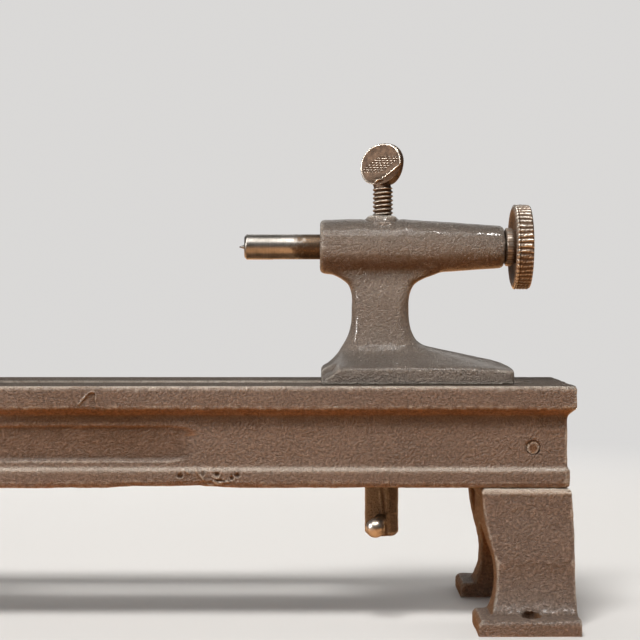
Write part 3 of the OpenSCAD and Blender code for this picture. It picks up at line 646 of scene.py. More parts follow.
def turned_alloy(name, colour, rings, rough):
    """Turned aluminium, bronze or brass with tool rings and a slight stain."""
    f = Finish(name)
    spots = f.speckle(0.6)
    tone = f.over(
        f.blend(f.ease(f.speckle(5.0, 4.0), 0.3, 0.7), shade(colour, 0.72), shade(colour, 1.08)),
        (f.ease(spots, 0.58, 0.78, 0.0, 0.6), shade(colour, 0.45)),
    )
    normal = f.relief(None, (f.tool_rings(rings), 0.04), (spots, 0.02))
    return f.done(tone, f.ease(spots, 0.3, 0.75, rough, rough + 0.2), 0.9, normal)


# The record's material slot of each finish
SLOTS = {
    "bed paint": "casting",
    "head paint": "casting",
    "quill steel": "bright_steel",
    "bright steel": "bright_steel",
    "plain steel": "plain_steel",
    "browned steel": "browned_steel",
    "screw steel": "browned_steel",
    "bronze": "bronze",
    "brass": "brass_cups",
    "alloy": "pulley_alloy",
}
FINISHES = {}


def finish_named(name):
    """A finish that an earlier step has made."""
    if name not in FINISHES:
        raise RuntimeError("the finishes come first: run bench_lathe.finishes")
    return FINISHES[name]


# Settings

def colour_setting(name, about, value):
    """A colour, in linear light."""
    return bpy.props.FloatVectorProperty(
        name=name, description=about, subtype="COLOR", size=3, min=0.0, max=1.0, default=value
    )


def length_setting(name, about, value, low, high):
    """A length, given in mm with its limits."""
    return bpy.props.FloatProperty(
        name=name, description=about, unit="LENGTH", precision=5,
        default=value * MM, min=low * MM, max=high * MM,
    )


class LatheColours(bpy.types.PropertyGroup):
    """Colours of the lathe's finishes."""

    bed_paint: colour_setting("Bed paint", "Paint on the bed and legs", (0.178, 0.126, 0.096))
    head_paint: colour_setting(
        "Tailstock paint", "Paint on the tailstock, headstock and rest", (0.198, 0.165, 0.138))
    # Dust also darkens the paint's corners as painted shade.
    dust: colour_setting("Dust", "Dust and old oil in the corners", (0.070, 0.042, 0.025))
    # The two warm tints beneath the castings: brown grime and rusty brown, with painted reflected
    # light.
    grime: colour_setting("Grime", "Brown grime on the undersides", (0.155, 0.082, 0.040))
    rust: colour_setting("Rust", "Rusty brown beneath the bed's edges", (0.250, 0.118, 0.050))
    oiled: colour_setting(
        "Oiled", "Oily top of the bed, where the slides have run", (0.055, 0.044, 0.034))
    bright_steel: colour_setting("Bright steel", "Turned and rubbed steel", (0.45, 0.42, 0.385))
    rubbed_steel: colour_setting(
        "Rubbed steel", "Ridges and rims of the browned steel", (0.44, 0.40, 0.35))
    dull_steel: colour_setting("Dull steel", "Turned steel that has dulled", (0.28, 0.23, 0.18))
    brown_steel: colour_setting(
        "Brown steel", "Browned steel of the handwheel and thumb screws", (0.125, 0.080, 0.052))
    tarnish: colour_setting("Tarnish", "Brown tarnish on the quill", (0.055, 0.032, 0.016))
    bronze: colour_setting("Bronze", "Bearing bushes", (0.42, 0.26, 0.11))
    brass: colour_setting("Brass", "Oil cups", (0.42, 0.30, 0.13))
    alloy: colour_setting("Pulley alloy", "Turned casting of the pulley", (0.36, 0.34, 0.32))
    backdrop: colour_setting(
        "Backdrop", "Floor and surround, as the camera sees them", (0.70, 0.69, 0.68))
    bench: colour_setting(
        "Bench", "Light that the floor throws back on the lathe", (0.88, 0.48, 0.23))


class LatheSizes(bpy.types.PropertyGroup):
    """Sizes of the lathe's fine detail."""

    bed_grain: length_setting("Bed grain", "Spacing of the bed's surface mesh", 0.6, 0.3, 2.0)
    head_grain: length_setting(
        "Small casting grain", "Spacing of the small castings' surface mesh", 0.4, 0.25, 1.0)
    screw_grain: length_setting(
        "Screw grain", "Spacing of the thumb screws' surface mesh", 0.11, 0.1, 0.4)
    thread_pitch: length_setting("Thread pitch", "Pitch of the thumb screws", 1.27, 0.5, 2.0)
    thread_depth: length_setting(
        "Thread depth", "Depth of the thumb screws' thread", 0.62, 0.3, 1.0)
    nose_pitch: length_setting("Nose pitch", "Pitch of the spindle nose's thread", 1.6, 1.0, 2.5)
    knurl_depth: length_setting("Knurl depth", "Depth of the handwheel's furrows", 0.50, 0.1, 0.8)
    ridges: bpy.props.IntProperty(
        name="Ridges", description="Ridges round the handwheel", default=50, min=40, max=90
    )


def rgb(setting):
    """A colour setting as plain numbers."""
    return tuple(getattr(bpy.context.scene.lathe_colours, setting))


def in_mm(setting):
    """A size setting in mm."""
    return getattr(bpy.context.scene.lathe_sizes, setting) / MM


BED_COAT = (0.12, 0.20)      # weight and roughness of the paint's gloss
HEAD_COAT = (0.24, 0.12)
QUILL_BRIGHT = (0.29, 0.27, 0.25)
QUILL_DULL = (0.21, 0.195, 0.175)
QUILL_CLEAR = 0.0155         # the quill is clear of tarnish so far from its left end
QUILL_BROWN = 0.0200         # and brown all over from here


class LATHE_OT_finishes(bpy.types.Operator):
    """Make the paints and metals"""

    bl_idname = "bench_lathe.finishes"
    bl_label = "Finishes"

    def execute(self, context):
        bright, dull, rubbed = rgb("bright_steel"), rgb("dull_steel"), rgb("rubbed_steel")
        brown, grime = rgb("brown_steel"), rgb("dust")
        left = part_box("quill")[0].x
        tarnish = (left + QUILL_CLEAR, left + QUILL_BROWN)
        FINISHES.update({
            "bed paint": cast_paint(
                "bed_paint", rgb("bed_paint"), 0.70, 0.23, 0.52, BED_COAT, rgb("rust"), 1.0),
            "head paint": cast_paint(
                "tailstock_paint", rgb("head_paint"), 0.68, 0.19, 0.42, HEAD_COAT, rgb("grime"),
                0.45),
            "quill steel": turned_steel(
                "quill_steel", QUILL_BRIGHT, QUILL_DULL, 0.30, 0.22, tarnish),
            "bright steel": turned_steel("bright_steel", bright, dull, 0.31),
            "plain steel": turned_steel("plain_steel", dull, shade(dull, 0.6), 0.38),
            "browned steel": browned_steel("browned_steel", brown, rubbed, grime),
            "screw steel": browned_steel(
                "screw_steel", shade(brown, 0.55), rubbed, grime, 1.8, 0.75),
            "bronze": turned_alloy("bronze", rgb("bronze"), 0.2, 0.32),
            "brass": turned_alloy("brass", rgb("brass"), 0.2, 0.3),
            "alloy": turned_alloy("pulley_alloy", rgb("alloy"), 0.3, 0.34),
        })
        return {"FINISHED"}


# Bed

# In mm: X and Y from the frame's origin, and Z above the bench where nothing else is said
TOP = BED_TOP / MM
LEG_TOP = BED_LOW.z / MM
PANEL_X = 80.0        # half length of the sunken panel
PANEL_Z = 16.7        # its middle below the bed's top
PANEL_HALF = 4.8      # half of its height
PANEL_DEEP = 0.8
PANEL_EDGE = 1.6      # height of its upper, sloping edge
PANEL_FOOT = 1.1      # height of its lower one
FLANGE_DOWN = 0.62    # how far the top plate's lower edge is drawn down
WALL_Y = 22.5         # the bed's front and back walls
WALL_END = BED_HIGH.x / MM - 2.5
WALL_REACH = 1.3      # how far from a wall its points may be
BEAD_TOP = 46.2       # top of the bead along the wall's foot
BEAD_SLOPE = 1.4      # height of its sloping top
BEAD_OUT = 0.9
PIN_RADIUS = 2.0
PIN_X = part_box("leg_pins")[1].x / MM - PIN_RADIUS
PIN_Z = middle("leg_pins").z / MM
SLOT_HALF = 5.0       # half width of the slot in the bed's top
SLOT_END = 175        # the slot's edges are rubbed so far from the bed's middle
TOP_END = 188         # and the top's outer edges so far
CAST_GRAIN = ((2.6, 0.18), (1.3, 0.10))     # fine lumps of the bed and the legs: size and depth
LEG_GRAIN = 0.55      # spacing of the legs' surface mesh


def refine(mesh, inside, cuts):
    """Splits the edges of a patch of the mesh into finer ones."""

    def split(shell):
        flags = inside(np.array([v.co for v in shell.verts]))
        edges = [e for e in shell.edges if flags[e.verts[0].index] and flags[e.verts[1].index]]
        bmesh.ops.subdivide_edges(shell, edges=edges, cuts=cuts, use_grid_fill=True)

    edit_mesh(mesh, split)


def soft_line(x, z, path, width):
    """1 along a path of places on the front wall, fading off over a width."""
    nearest = np.full(len(x), 1e9)
    for (x0, z0), (x1, z1) in zip(path, path[1:]):
        dx, dz = x1 - x0, z1 - z0
        t = np.clip(((x - x0) * dx + (z - z0) * dz) / (dx * dx + dz * dz), 0.0, 1.0)
        nearest = np.minimum(nearest, np.hypot(x - x0 - t * dx, z - z0 - t * dz))
    return hump(nearest, 0.0, width)


def pin_distance(points):
    """Distance in mm from each point to the nearest leg pin's axis, as seen along the pin."""
    x, _, z = (points / MM).T
    return np.hypot(np.abs(x) - PIN_X, z - PIN_Z)


# Pits of the casting on the bead: X and height of the middle, half width, half height and depth
PITS = (
    (75.2, 43.7, 1.0, 0.85, 0.60), (86.0, 44.2, 0.9, 0.75, 0.60), (87.0, 42.3, 2.3, 0.45, 0.35),
    (81.9, 44.4, 0.6, 0.9, 0.30), (90.3, 43.1, 0.75, 0.75, 0.50), (91.8, 43.9, 0.95, 0.8, 0.60),
    (84.3, 41.7, 1.0, 0.7, 0.30),
)
# Ridges beside the pits: their height, and places (X, height above the bench) in mm
RIDGES = (
    (0.65, ((79.5, 45.9), (80.6, 44.3), (82.0, 42.6))),
    (0.50, ((76.7, 45.3), (77.9, 44.5))),
    (0.25, ((84.6, 43.5), (85.6, 43.0), (86.4, 43.1))),
    (0.26, ((84.9, 42.1), (86.0, 41.3), (87.2, 41.5))),
    (0.20, ((87.8, 42.6), (89.3, 41.9))),
)


def panel_area(x, z):
    """1 inside the sunken panel. Its long edges slope, and its ends fade into the wall."""
    half = PANEL_HALF - 0.8 * rise(np.abs(x), PANEL_X - 9.0, PANEL_X)
    upper = rise(half - PANEL_Z + z, -PANEL_EDGE / 2, PANEL_EDGE / 2)
    lower = rise(half + PANEL_Z - z, -PANEL_FOOT / 2, PANEL_FOOT / 2)
    return upper * lower * rise(np.abs(x), PANEL_X + 2.0, PANEL_X - 6.0)


def shape_panel(points):
    """Gives the front wall its sunken panel, with soft sloping edges."""
    x, y, z = (points / MM).T
    down = TOP - z
    wall = (np.abs(y + WALL_Y) < WALL_REACH) & (np.abs(down - PANEL_Z) < PANEL_HALF + 1.6)
    wall &= np.abs(x) < PANEL_X + 3
    points[wall, 1] = (PANEL_DEEP * panel_area(x, down)[wall] - WALL_Y) * MM


def shape_bead(points):
    """Sharpens the slope along the top of the bead, on all four walls."""
    x, y, z = (points / MM).T
    out = BEAD_OUT * rise(z, BEAD_TOP, BEAD_TOP - BEAD_SLOPE)
    tall = (z > 41.6) & (z < 58.5)
    for axis, face, through, along, reach in (
        (1, WALL_Y, y, x, WALL_Y + 165), (0, WALL_END, x, y, 21.6),
    ):
        for side in (-1, 1):
            wall = tall & (np.abs(side * through - face) < WALL_REACH) & (np.abs(along) < reach)
            points[wall, axis] = side * (face + out[wall]) * MM


# Edges of the chip on the top plate's front, raised and painted bright as a highlight: places (X,
# height above the bench) in mm
CHIP_LIP = ((46.2, 64.7), (47.0, 65.8), (48.3, 67.3))
CHIP_RIM = ((48.3, 67.3), (48.9, 68.0), (49.7, 68.35), (50.7, 68.2), (51.05, 67.5), (50.95, 66.0))


def chip_area(x, z):
    """1 inside the chip on the top plate's front edge."""
    left = (x - 46.2) - (z - 64.7) * 0.80
    top = 68.2 - z + 0.5 * hump(x, 49.8, 1.2) - 0.5
    sides = rise(left, 0.0, 0.6) * rise(51.1 - x, 0.0, 0.5)
    return sides * rise(top, 0.0, 0.5) * rise(z, 64.0, 66.0)


def pit_reach(x, z, pit):
    """How far each place is from a pit's middle, with 1 on its rim."""
    pit_x, pit_z, wide, tall, _ = pit
    return np.hypot((x - pit_x) / wide, (z - pit_z) / tall)


def flaw_lines(x, z):
    """1 on the edges of the chip and of the bead's flaws, which are painted bright as a highlight.
    """
    lines = 0.9 * soft_line(x, z, CHIP_LIP, 0.26) + 0.6 * soft_line(x, z, CHIP_RIM, 0.24)
    for _, path in RIDGES:
        lines += 1.1 * soft_line(x, z, path, 0.30)
    for pit in PITS:
        lines += 0.9 * hump(pit_reach(x, z, pit), 1.15, 0.2) * rise(z, pit[1] + 0.1, pit[1] - 0.4)
    return np.clip(lines, 0.0, 1.0)


def shape_flaws(points, normals):
    """Cuts the chip on the top plate's front edge, and the flaws on the bead."""
    x, _, z = (points / MM).T
    deep = chip_area(x, z) * (0.16 + 0.18 * rise(x, 48.5, 50.8))
    deep -= 0.34 * soft_line(x, z, CHIP_LIP, 0.28) + 0.20 * soft_line(x, z, CHIP_RIM, 0.26)
    for height, path in RIDGES:
        deep -= height * soft_line(x, z, path, 0.34)
    for pit in PITS:
        reach = pit_reach(x, z, pit)
        deep += pit[4] * rise(reach, 1.0, 0.45)
        deep -= 0.14 * hump(reach, 1.15, 0.18) * rise(z, pit[1] + 0.3, pit[1] - 0.4)
    front = normals[:, 1] < -0.3
    points[front, 1] += deep[front] * MM


class LATHE_OT_bed(bpy.types.Operator):
    """Cast the bed, with its softened edges and the flaws of its casting"""

    bl_idname = "bench_lathe.bed"
    bl_label = "Bed"

    def execute(self, context):
        piece = cast_skin("bed", "bed_casting", in_mm("bed_grain"), 2, ())
        mesh = piece.data
        refine(mesh, self.near_bead, 1)
        reshape(mesh, shape_bead, self.draw_flange, shape_panel)
        roughen(piece, ((11.0, 0.40), *CAST_GRAIN))
        mesh = piece.data
        reshape(mesh, lambda points: true_flat(points, BED_TOP), self.sag)
        refine(mesh, self.near_flaws, 2)
        normals = read_points(mesh, "normal")
        points = reshape(mesh, lambda points: shape_flaws(points, normals), self.pin_grooves)
        smooth_faces(mesh, 180)
        finish_casting(piece, *self.marks(points))
        keep_piece(piece, "bed paint", "bed")
        return {"FINISHED"}

    def draw_flange(self, points):
        """Draws the top plate's lower edge down."""
        z = points[:, 2] / MM
        points[:, 2] -= FLANGE_DOWN * rise(z, 66.5, 64.3) * rise(z, 57.5, 61.5) * MM

    def sag(self, points):
        """Lets the foot's front edge run unevenly, as it was cast."""
        x, y, z = (points / MM).T
        foot = rise(z, 46.0, 40.2) * (y < 0)
        lift = 0.55 * rise(x, 50.0, 66.0) * rise(x, 92.0, 80.0) - 0.25 * rise(x, 44.0, 10.0)
        points[:, 2] += foot * lift * MM

    def pin_grooves(self, points):
        """Raises the ring of paint round each end of the leg pins."""
        y = points[:, 1]
        groove = 0.34 * hump(pin_distance(points), PIN_RADIUS + 0.08, 0.14)
        points[:, 1] -= np.sign(y) * groove * (np.abs(y) > 20.0 * MM) * MM

    def near_bead(self, points):
        """The points round the bead's top edge."""
        _, y, z = (points / MM).T
        return (np.abs(z - BEAD_TOP + 0.5) < 1.3) & (np.abs(y) > 21.5)

    def near_flaws(self, points):
        """The points of the front wall round the bead's flaws, the chip and the leg pins."""
        x, y, z = (points / MM).T
        beads = (x > 72) & (x < 95) & (z < 47) & (z > 41)
        chip = (x > 43.5) & (x < 53) & (z > 63.2)
        return (y < -21) & (beads | chip | (pin_distance(points) < 3.8))

    def marks(self, points):
        """Where the bed is rubbed, oily, dirty and dusty."""
        x, y, z = (points / MM).T
        away = np.abs(y)
        front, walls = y < -20.0, away > 20.0
        rubbed = 0.5 * hump(away, SLOT_HALF, 0.5) * (z > TOP - 0.8) * (np.abs(x) < SLOT_END)
        rubbed += 0.52 * hump(np.hypot(away - 25.0, z - TOP), 0.4, 0.5) * (np.abs(x) < TOP_END)
        # The bead's sloping top is painted bright: rubbed paint and a painted highlight.
        rubbed += 0.66 * hump(z, BEAD_TOP - BEAD_SLOPE / 2, 0.8) * (away > 21.5)
        # The edges of the chip and of the bead's flaws are painted bright: a painted highlight.
        lines = flaw_lines(x, z) * front
        rubbed += 0.10 * lines
        oily = (z > TOP - 0.25) * rise(away, 24.6, 23.6)
        # The sunken panel is tinted darker and browner, grime and painted shade; its sloping upper
        # edge gets a painted warm reflection.
        sunk = panel_area(x, TOP - z) * front
        slope = 4.0 * sunk * (1.0 - sunk) * (z > 55.0)
        ends = rise(np.abs(x), PANEL_X - 4.0, PANEL_X + 4.0)
        # Painted shadow: a dark brown stripe along the walls under the top plate's lower edge, and a
        # dark line just inside the panel's upper edge.
        band = rise(z, 58.4 - 2.6 * ends, 59.3) * rise(z, 61.6, 60.8) * walls
        band = np.maximum(band, 0.7 * hump(z, 56.5, 0.5) * rise(sunk, 0.6, 1.0) * front)
        # Painted warm reflection: the hollow under the top plate's edge is tinted orange-brown.
        cove = hump(z, 62.0, 0.9) * walls
        dark = chip_area(x, z) * front * rise(x, 48.7, 49.4) * hump(z, 65.5, 1.0)
        grime_and_bounce = np.maximum.reduce([0.30 * band, 0.35 * sunk, 0.62 * slope, 0.62 * cove, 0.35 * dark])
        dust_and_painted_light = np.maximum.reduce([0.85 * band, 0.7 * dark, 0.60 * sunk]) - lines
        return np.clip(rubbed, 0.0, 1.0), oily, grime_and_bounce, dust_and_painted_light


class LATHE_OT_legs(bpy.types.Operator):
    """Cast the two legs and drive their cross pins"""

    bl_idname = "bench_lathe.legs"
    bl_label = "Legs"

    def execute(self, context):
        for node in ("left_leg", "right_leg"):
            piece = cast_skin(node, node + "_casting", LEG_GRAIN, 3, ((9.0, 0.35), *CAST_GRAIN))
            points = reshape(piece.data, lambda points: true_flat(points, 0.0), self.shoulder)
            x, y, z = (points / MM).T
            # The leg's top shoulder is painted bare and bright: rubbed paint and a painted
            # highlight.
            shoulder = rise(z, LEG_TOP - 2.2, LEG_TOP - 0.9) * (np.abs(y) > 21.0)
            # Painted shade and warm reflection: the legs' inner sides are tinted dark oily brown and
            # orange-brown.
            inward = -read_points(piece.data, "normal")[:, 0] * np.sign(x)
            inner = rise(inward, 0.3, 0.8)
            finish_casting(piece, 0.85 * shoulder, worn=0.50 * inner, grime_and_bounce=inner)
            keep_piece(piece, "bed paint", node)
        self.pins()
        return {"FINISHED"}

    def pins(self):
        """The two cross pins, driven in flush with the bed's walls."""
        low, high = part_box("leg_pins")
        radius, length = half_size("leg_pins").z / MM, (high.y - low.y) / MM
        left, right = low.x / MM + radius, high.x / MM - radius
        ends = [(0, 0), (0.05, radius * 0.45), (0.35, radius - 0.05, 0.3), (1.2, radius)]
        rows = fillet(ends + [(length - along, r) for along, r, *_ in reversed(ends)])
        turn = Matrix.Rotation(math.pi / 2, 4, "Z")
        places = [Matrix.Translation((x * MM, low.y, PIN_Z * MM)) @ turn for x in (left, right)]
        pins = [turned_piece("leg_pin", rows, place, 48) for place in places]
        piece = joined("leg_pins_driven", pins)
        x, _, z = (read_points(piece.data) / MM).T
        away = np.hypot(np.abs(x) - right, z - PIN_Z)
        finish_casting(piece, 0.8 * hump(away, radius - 0.30, 0.2), worn=0.45, grime_and_bounce=0.55)
        keep_piece(piece, "bed paint", "leg_pins")

    def shoulder(self, points):
        """Rounds the leg's top over to the bed's foot, in front and behind."""
        _, y, z = (points / MM).T
        tall, deep = 1.9, 1.0
        part = np.clip((z - LEG_TOP + tall) / tall, 0.0, 1.0)
        face = 22.75 + deep * np.sqrt(np.clip(1.0 - part ** 2, 0.0, 1.0))
        near = (z > LEG_TOP - 2.6) & (np.abs(y) > 22.4)
        ease = rise(z, LEG_TOP - 2.6, LEG_TOP - 1.8)
        points[near, 1] = (np.sign(y) * (np.abs(y) * (1 - ease) + face * ease))[near] * MM


# Small castings

BARREL = 8.4                   # radius of the tailstock's barrel, in mm; the rest are in metres
BUSH_BORE = half_size("front_bush").z + 0.00003
QUILL_BORE = half_size("quill").y + 0.00005
LOCK_BORE = 0.0032
POST_BORE = 0.00479
POST_RADIUS = 0.00476
BARREL_WALL = 0.0039           # the bore of the barrel stops so far from its right end
FACE_REACH = 0.0004            # how far from a bush's end its housing is still faced off
FACE_RADIUS = 0.0098           # and how far from the axis
LOCK_HOLE_LOW = 0.004          # the tapped hole starts so far above the axis
POST_TOP = 0.0145              # the turned post ends so far below the top of the rest's bar


def round_corner(points, end, wide):
    """Rounds the corners at the tailstock's left end, more toward the top of its foot."""
    x, y, z = (points / MM).T
    height = z - TOP
    radius = 1.6 + 4.2 * rise(height, 0.3, 4.6)
    dx, dy = end + radius - x, np.abs(y) - (wide - radius)
    at = (dx > 0) & (dy > 0) & (height > -0.2) & (height < 7.0)
    square = (np.maximum(dx, 0.0) ** 5 + np.maximum(dy, 0.0) ** 5) ** 0.2
    scale = np.where(at, square / np.maximum(np.hypot(dx, dy), 1e-6), 1.0)
    ease = np.where(at, rise(height, 7.0, 5.0), 0.0)
    scale = 1.0 - (1.0 - scale) * ease
    points[at, 0] = (end + radius - dx * scale)[at] * MM
    points[at, 1] = (np.sign(y) * (wide - radius + dy * scale))[at] * MM
    dip = 1.1 * rise(np.minimum(dx, dy), 0.0, 0.5 * radius) * rise(height, 1.2, 4.0) * ease
    points[at, 2] -= dip[at] * MM


def slim_neck(mesh, points):
    """Draws the column's top in under the barrel, so that the barrel stands out over it."""
    _, y, z = (points / MM).T
    drop = AXIS_Z / MM - z
    away = np.hypot(y, drop) - BARREL
    neck = rise(drop, 17.0, 8.0) * (drop > 3.0) * rise(away, 0.0, 0.9)
    slim = y * (1.0 - 0.24 * neck)
    short = np.hypot(slim, drop)
    inside = (short < BARREL - 0.1) & (away > 0.0)
    keep = np.where(inside, (BARREL - 0.1) / np.maximum(short, 1e-6), 1.0)
    at = neck > 0.0
    points[at, 1] = (slim * keep)[at] * MM
    points[at, 2] = (AXIS_Z / MM - drop * keep)[at] * MM
    _, y, z = (points / MM).T
    drop = AXIS_Z / MM - z
    away = np.hypot(y, drop) - BARREL
    near = hump(away, 0.3, 1.3) * rise(drop, 2.5, 4.5) * rise(drop, 15.0, 12.0)
    soften(mesh, points, 0.9 * near, 14)


class LATHE_OT_castings(bpy.types.Operator):
    """Cast the headstock, the tool rest and the tailstock"""

    bl_idname = "bench_lathe.castings"
    bl_label = "Small castings"

    def execute(self, context):
        for node, name, machine in (
            ("headstock_body", "headstock_casting", self.headstock),
            ("tailstock_body", "tailstock_casting", self.tailstock),
            ("rest_base", "rest_base_casting", self.rest_base),
            ("tool_rest", "tool_rest_casting", self.tool_rest),
        ):
            piece = cast_skin(node, name, in_mm("head_grain"), 3, ((8.0, 0.28), (2.4, 0.14)))
            points = read_points(piece.data)
            bare = np.zeros(len(points))
            if node == "tailstock_body":
                slim_neck(piece.data, points)
            machine(points, bare, *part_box(node))
            write_points(piece.data, points)
            finish_casting(piece, bare)
            keep_piece(piece, "head paint", node)
        return {"FINISHED"}

    def headstock(self, points, bare, low, high):
        """Bores the bearings, and faces the foot and the housings' ends."""
        true_flat(points, BED_TOP)
        bare[true_bore(points, BUSH_BORE, AXIS, 0, low.x, high.x)] = 0.8
        away = np.hypot(points[:, 1], points[:, 2] - AXIS_Z)
        for end in (*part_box("front_bush"), *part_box("rear_bush")):
            ring = (np.abs(points[:, 0] - end.x) < FACE_REACH) & (away < FACE_RADIUS)
            points[ring, 0] = end.x
            bare[ring] = 0.75

    def tailstock(self, points, bare, low, high):
        """Bores the barrel and the boss, rubs the boss's top bright, and raises a ring round the
        screw that is painted bright as a highlight.
        """
        round_corner(points, low.x / MM, half_size("tailstock_body").y / MM)
        true_flat(points, BED_TOP)
        bare[true_bore(points, QUILL_BORE, AXIS, 0, low.x, high.x - BARREL_WALL)] = 0.8
        screw = (middle("quill_lock_screw").x, 0, 0)
        bare[true_bore(points, LOCK_BORE, screw, 2, AXIS_Z + LOCK_HOLE_LOW, high.z)] = 0.8
        away = np.hypot(points[:, 0] - TAIL_X, points[:, 1]) / MM
        top = (points[:, 2] - AXIS_Z) / MM
        worn = rise(top, 8.7, 9.3) * rise(away, 5.0, 4.2)
        ring = hump(away, 4.3, 0.45) * rise(top, 7.6, 8.4)
        groove = hump(away, 5.3, 0.5) * rise(top, 7.0, 7.8)
        points[:, 2] += (0.30 * ring - 0.20 * groove) * MM
        # The raised ring round the screw is painted bright: a painted highlight.
        bare[:] = np.maximum(bare, 0.05 * worn + 0.45 * ring)

    def rest_base(self, points, bare, low, high):
        """Faces the foot, and bares patches of the boss's front."""
        true_flat(points, BED_TOP)
        bare[true_bore(points, POST_BORE, REST_CENTRE, 2, low.z, high.z)] = 0.8

    def tool_rest(self, points, bare, low, high):
        """Bares the line of the post that faces the lock screw, and rubs the bar's top edge."""
        turned = true_bore(points, POST_RADIUS, REST_CENTRE, 2, low.z - 0.001, high.z - POST_TOP)
        away = np.hypot(points[:, 0] - REST_CENTRE[0], points[:, 1] - REST_CENTRE[1])
        end = (away < 0.0049) & (points[:, 2] < low.z + 0.002)
        bare[turned | end] = 0.9
        bare[:] = np.maximum(bare, 0.6 * hump(points[:, 2], high.z, 0.0008))


# Turned and fitted pieces

FEED_BORE = 2.41     # radius in mm of the feed screw's hole, in the quill and in the handwheel


class LATHE_OT_headstock(bpy.types.Operator):
    """Fit the bushes, the oil cups and the headstock's bolts"""

    bl_idname = "bench_lathe.headstock"
    bl_label = "Headstock fittings"

    def execute(self, context):
        keep_eased("bronze", 0.3, ("front_bush", "rear_bush"), ending="_turned")
        low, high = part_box("oil_cups")
        r = (high.y - low.y) / 2 / MM
        foot, top = (low.z - AXIS_Z) / MM, (high.z - AXIS_Z) / MM
        seat = top - 1.95 * r
        rows = fillet([
            (foot, 0), (foot, 1.5), (seat, 1.5), (seat, r - 0.5, 0.2), (seat + 0.5, r, 0.2),
            (seat + 1.3, r, 0.2), (seat + 1.6, r - 0.4, 0.2), (seat + 2.7, r - 0.4, 0.2),
            (seat + 2.9, r, 0.15), (seat + 3.5, r, 0.2), (top - 0.7, r - 0.7, 0.9),
            (top, 0.5, 0.3), (top, 0),
        ])
        cups = [
            turned_piece("oil_cup", rows, Matrix.Translation((x, 0, AXIS_Z)) @ UPRIGHT, 64)
            for x in (low.x + r * MM, high.x - r * MM)
        ]
        keep_piece(joined("oil_cups_turned", cups), "brass", "oil_cups")
        keep_eased("plain steel", 0.25, ("headstock_bolts", "headstock_clamp_plates"))
        return {"FINISHED"}


class LATHE_OT_spindle(bpy.types.Operator):
    """Turn the spindle, the pulley, the collar and the spur centre"""

    bl_idname = "bench_lathe.spindle"
    bl_label = "Spindle"

    def execute(self, context):
        self.spindle()
        keep_eased("bright steel", 0.2, ("spur_centre",))
        keep_eased("plain steel", 0.25, ("thrust_collar",))
        keep_eased("alloy", 0.3, ("step_pulley",))
        keep_eased("plain steel", 0.12, ("pulley_set_screw", "collar_set_screw"))
        return {"FINISHED"}

    def spindle(self):
        """The spindle, with its screwed nose and hollow taper."""
        collar = half_size("spindle").y / MM
        shaft = 6.35
        end = length_in_mm("spindle")
        nose, shoulder = 12.0, 4.6
        mouth, taper, throat = 4.52, 32.0, 3.69
        pitch = in_mm("nose_pitch")
        start = end - nose + 1.6

        def thread(along, radius, angles):
            if radius < shaft - 0.9 or along < start - 0.01:
                return np.full(len(angles), radius)
            turn = (along / pitch + angles / (2 * math.pi)) % 1.0
            ease_in = rise(along, start, start + 0.8) * rise(along, end - 0.4, end - 0.9)
            return radius - 0.75 * ease_in * np.abs(2 * turn - 1.0)

        outline = fillet([
            (end - taper, 0), (end - taper, throat), (end - 0.5, mouth, 0.2),
            (end - 0.1, mouth + 0.5, 0.2), (end, shaft - 0.9, 0.2), (end - 0.7, shaft, 0.2),
            (start, shaft), (start - 0.1, shaft - 0.8, 0.2), (end - nose, shaft - 0.8, 0.2),
            (end - nose, collar - 0.5, 0.3), (end - nose - 0.5, collar, 0.3),
            (end - nose - shoulder + 0.5, collar, 0.3), (end - nose - shoulder, collar - 0.5, 0.3),
            (end - nose - shoulder, shaft), (0.8, shaft, 0.3), (0, shaft - 0.8, 0.3), (0, 0),
        ])
        rows = finer(outline, pitch / 9, start - 0.2, end)
        piece = turned_piece("spindle_turned", rows, left_end("spindle"), 96, radius_at=thread)
        keep_piece(piece, "bright steel", "spindle")


class LATHE_OT_quill(bpy.types.Operator):
    """Turn the quill, its keyway and its point"""

    bl_idname = "bench_lathe.quill"
    bl_label = "Quill"

    def execute(self, context):
        radius, end = half_size("quill").y / MM, length_in_mm("quill")
        nose = 1.6
        rows = fillet([
            (0, 0), (0.05, 0.14), (nose - 0.15, 0.6, 0.2), (nose, 0.95),
            (nose + 0.02, radius - 0.75, 0.15), (nose + 0.65, radius, 0.35),
            (end - 0.4, radius, 0.2), (end, radius - 0.4, 0.1), (end, FEED_BORE),
            (end - 14, FEED_BORE), (end - 14.6, 0),
        ])
        piece = turned_piece("quill_turned", rows, left_end("quill"), 128)
        self.cut_keyway(piece, AXIS_Z - radius * MM)
        smooth_faces(piece.data, 30)
        keep_piece(piece, "quill steel", "quill")
        keep_eased("plain steel", 0.12, ("quill_key_pin", "feed_screw", "handwheel_pin"))
        return {"FINISHED"}

    def cut_keyway(self, piece, bottom):
        """Cuts the slot that the key pin runs in, under the quill; its sizes are in metres."""
        pin = middle("quill_key_pin").x
        left, right = pin - 0.0193, pin + 0.0073
        wide, tall, deep = 0.00184, 0.003, 0.0008
        cutter = new_piece("cutter", edit_mesh(
            bpy.data.meshes.new("key"), lambda shell: bmesh.ops.create_cube(shell, size=1.0)
        ))
        place = Matrix.Translation(((left + right) / 2, 0, bottom + deep - tall / 2))
        cutter.data.transform(place @ Matrix.Diagonal((right - left, wide, tall, 1)))
        modify(piece, "BOOLEAN", operation="DIFFERENCE", solver="EXACT", object=cutter)
        apply_modifiers(piece)
        bpy.data.objects.remove(cutter)


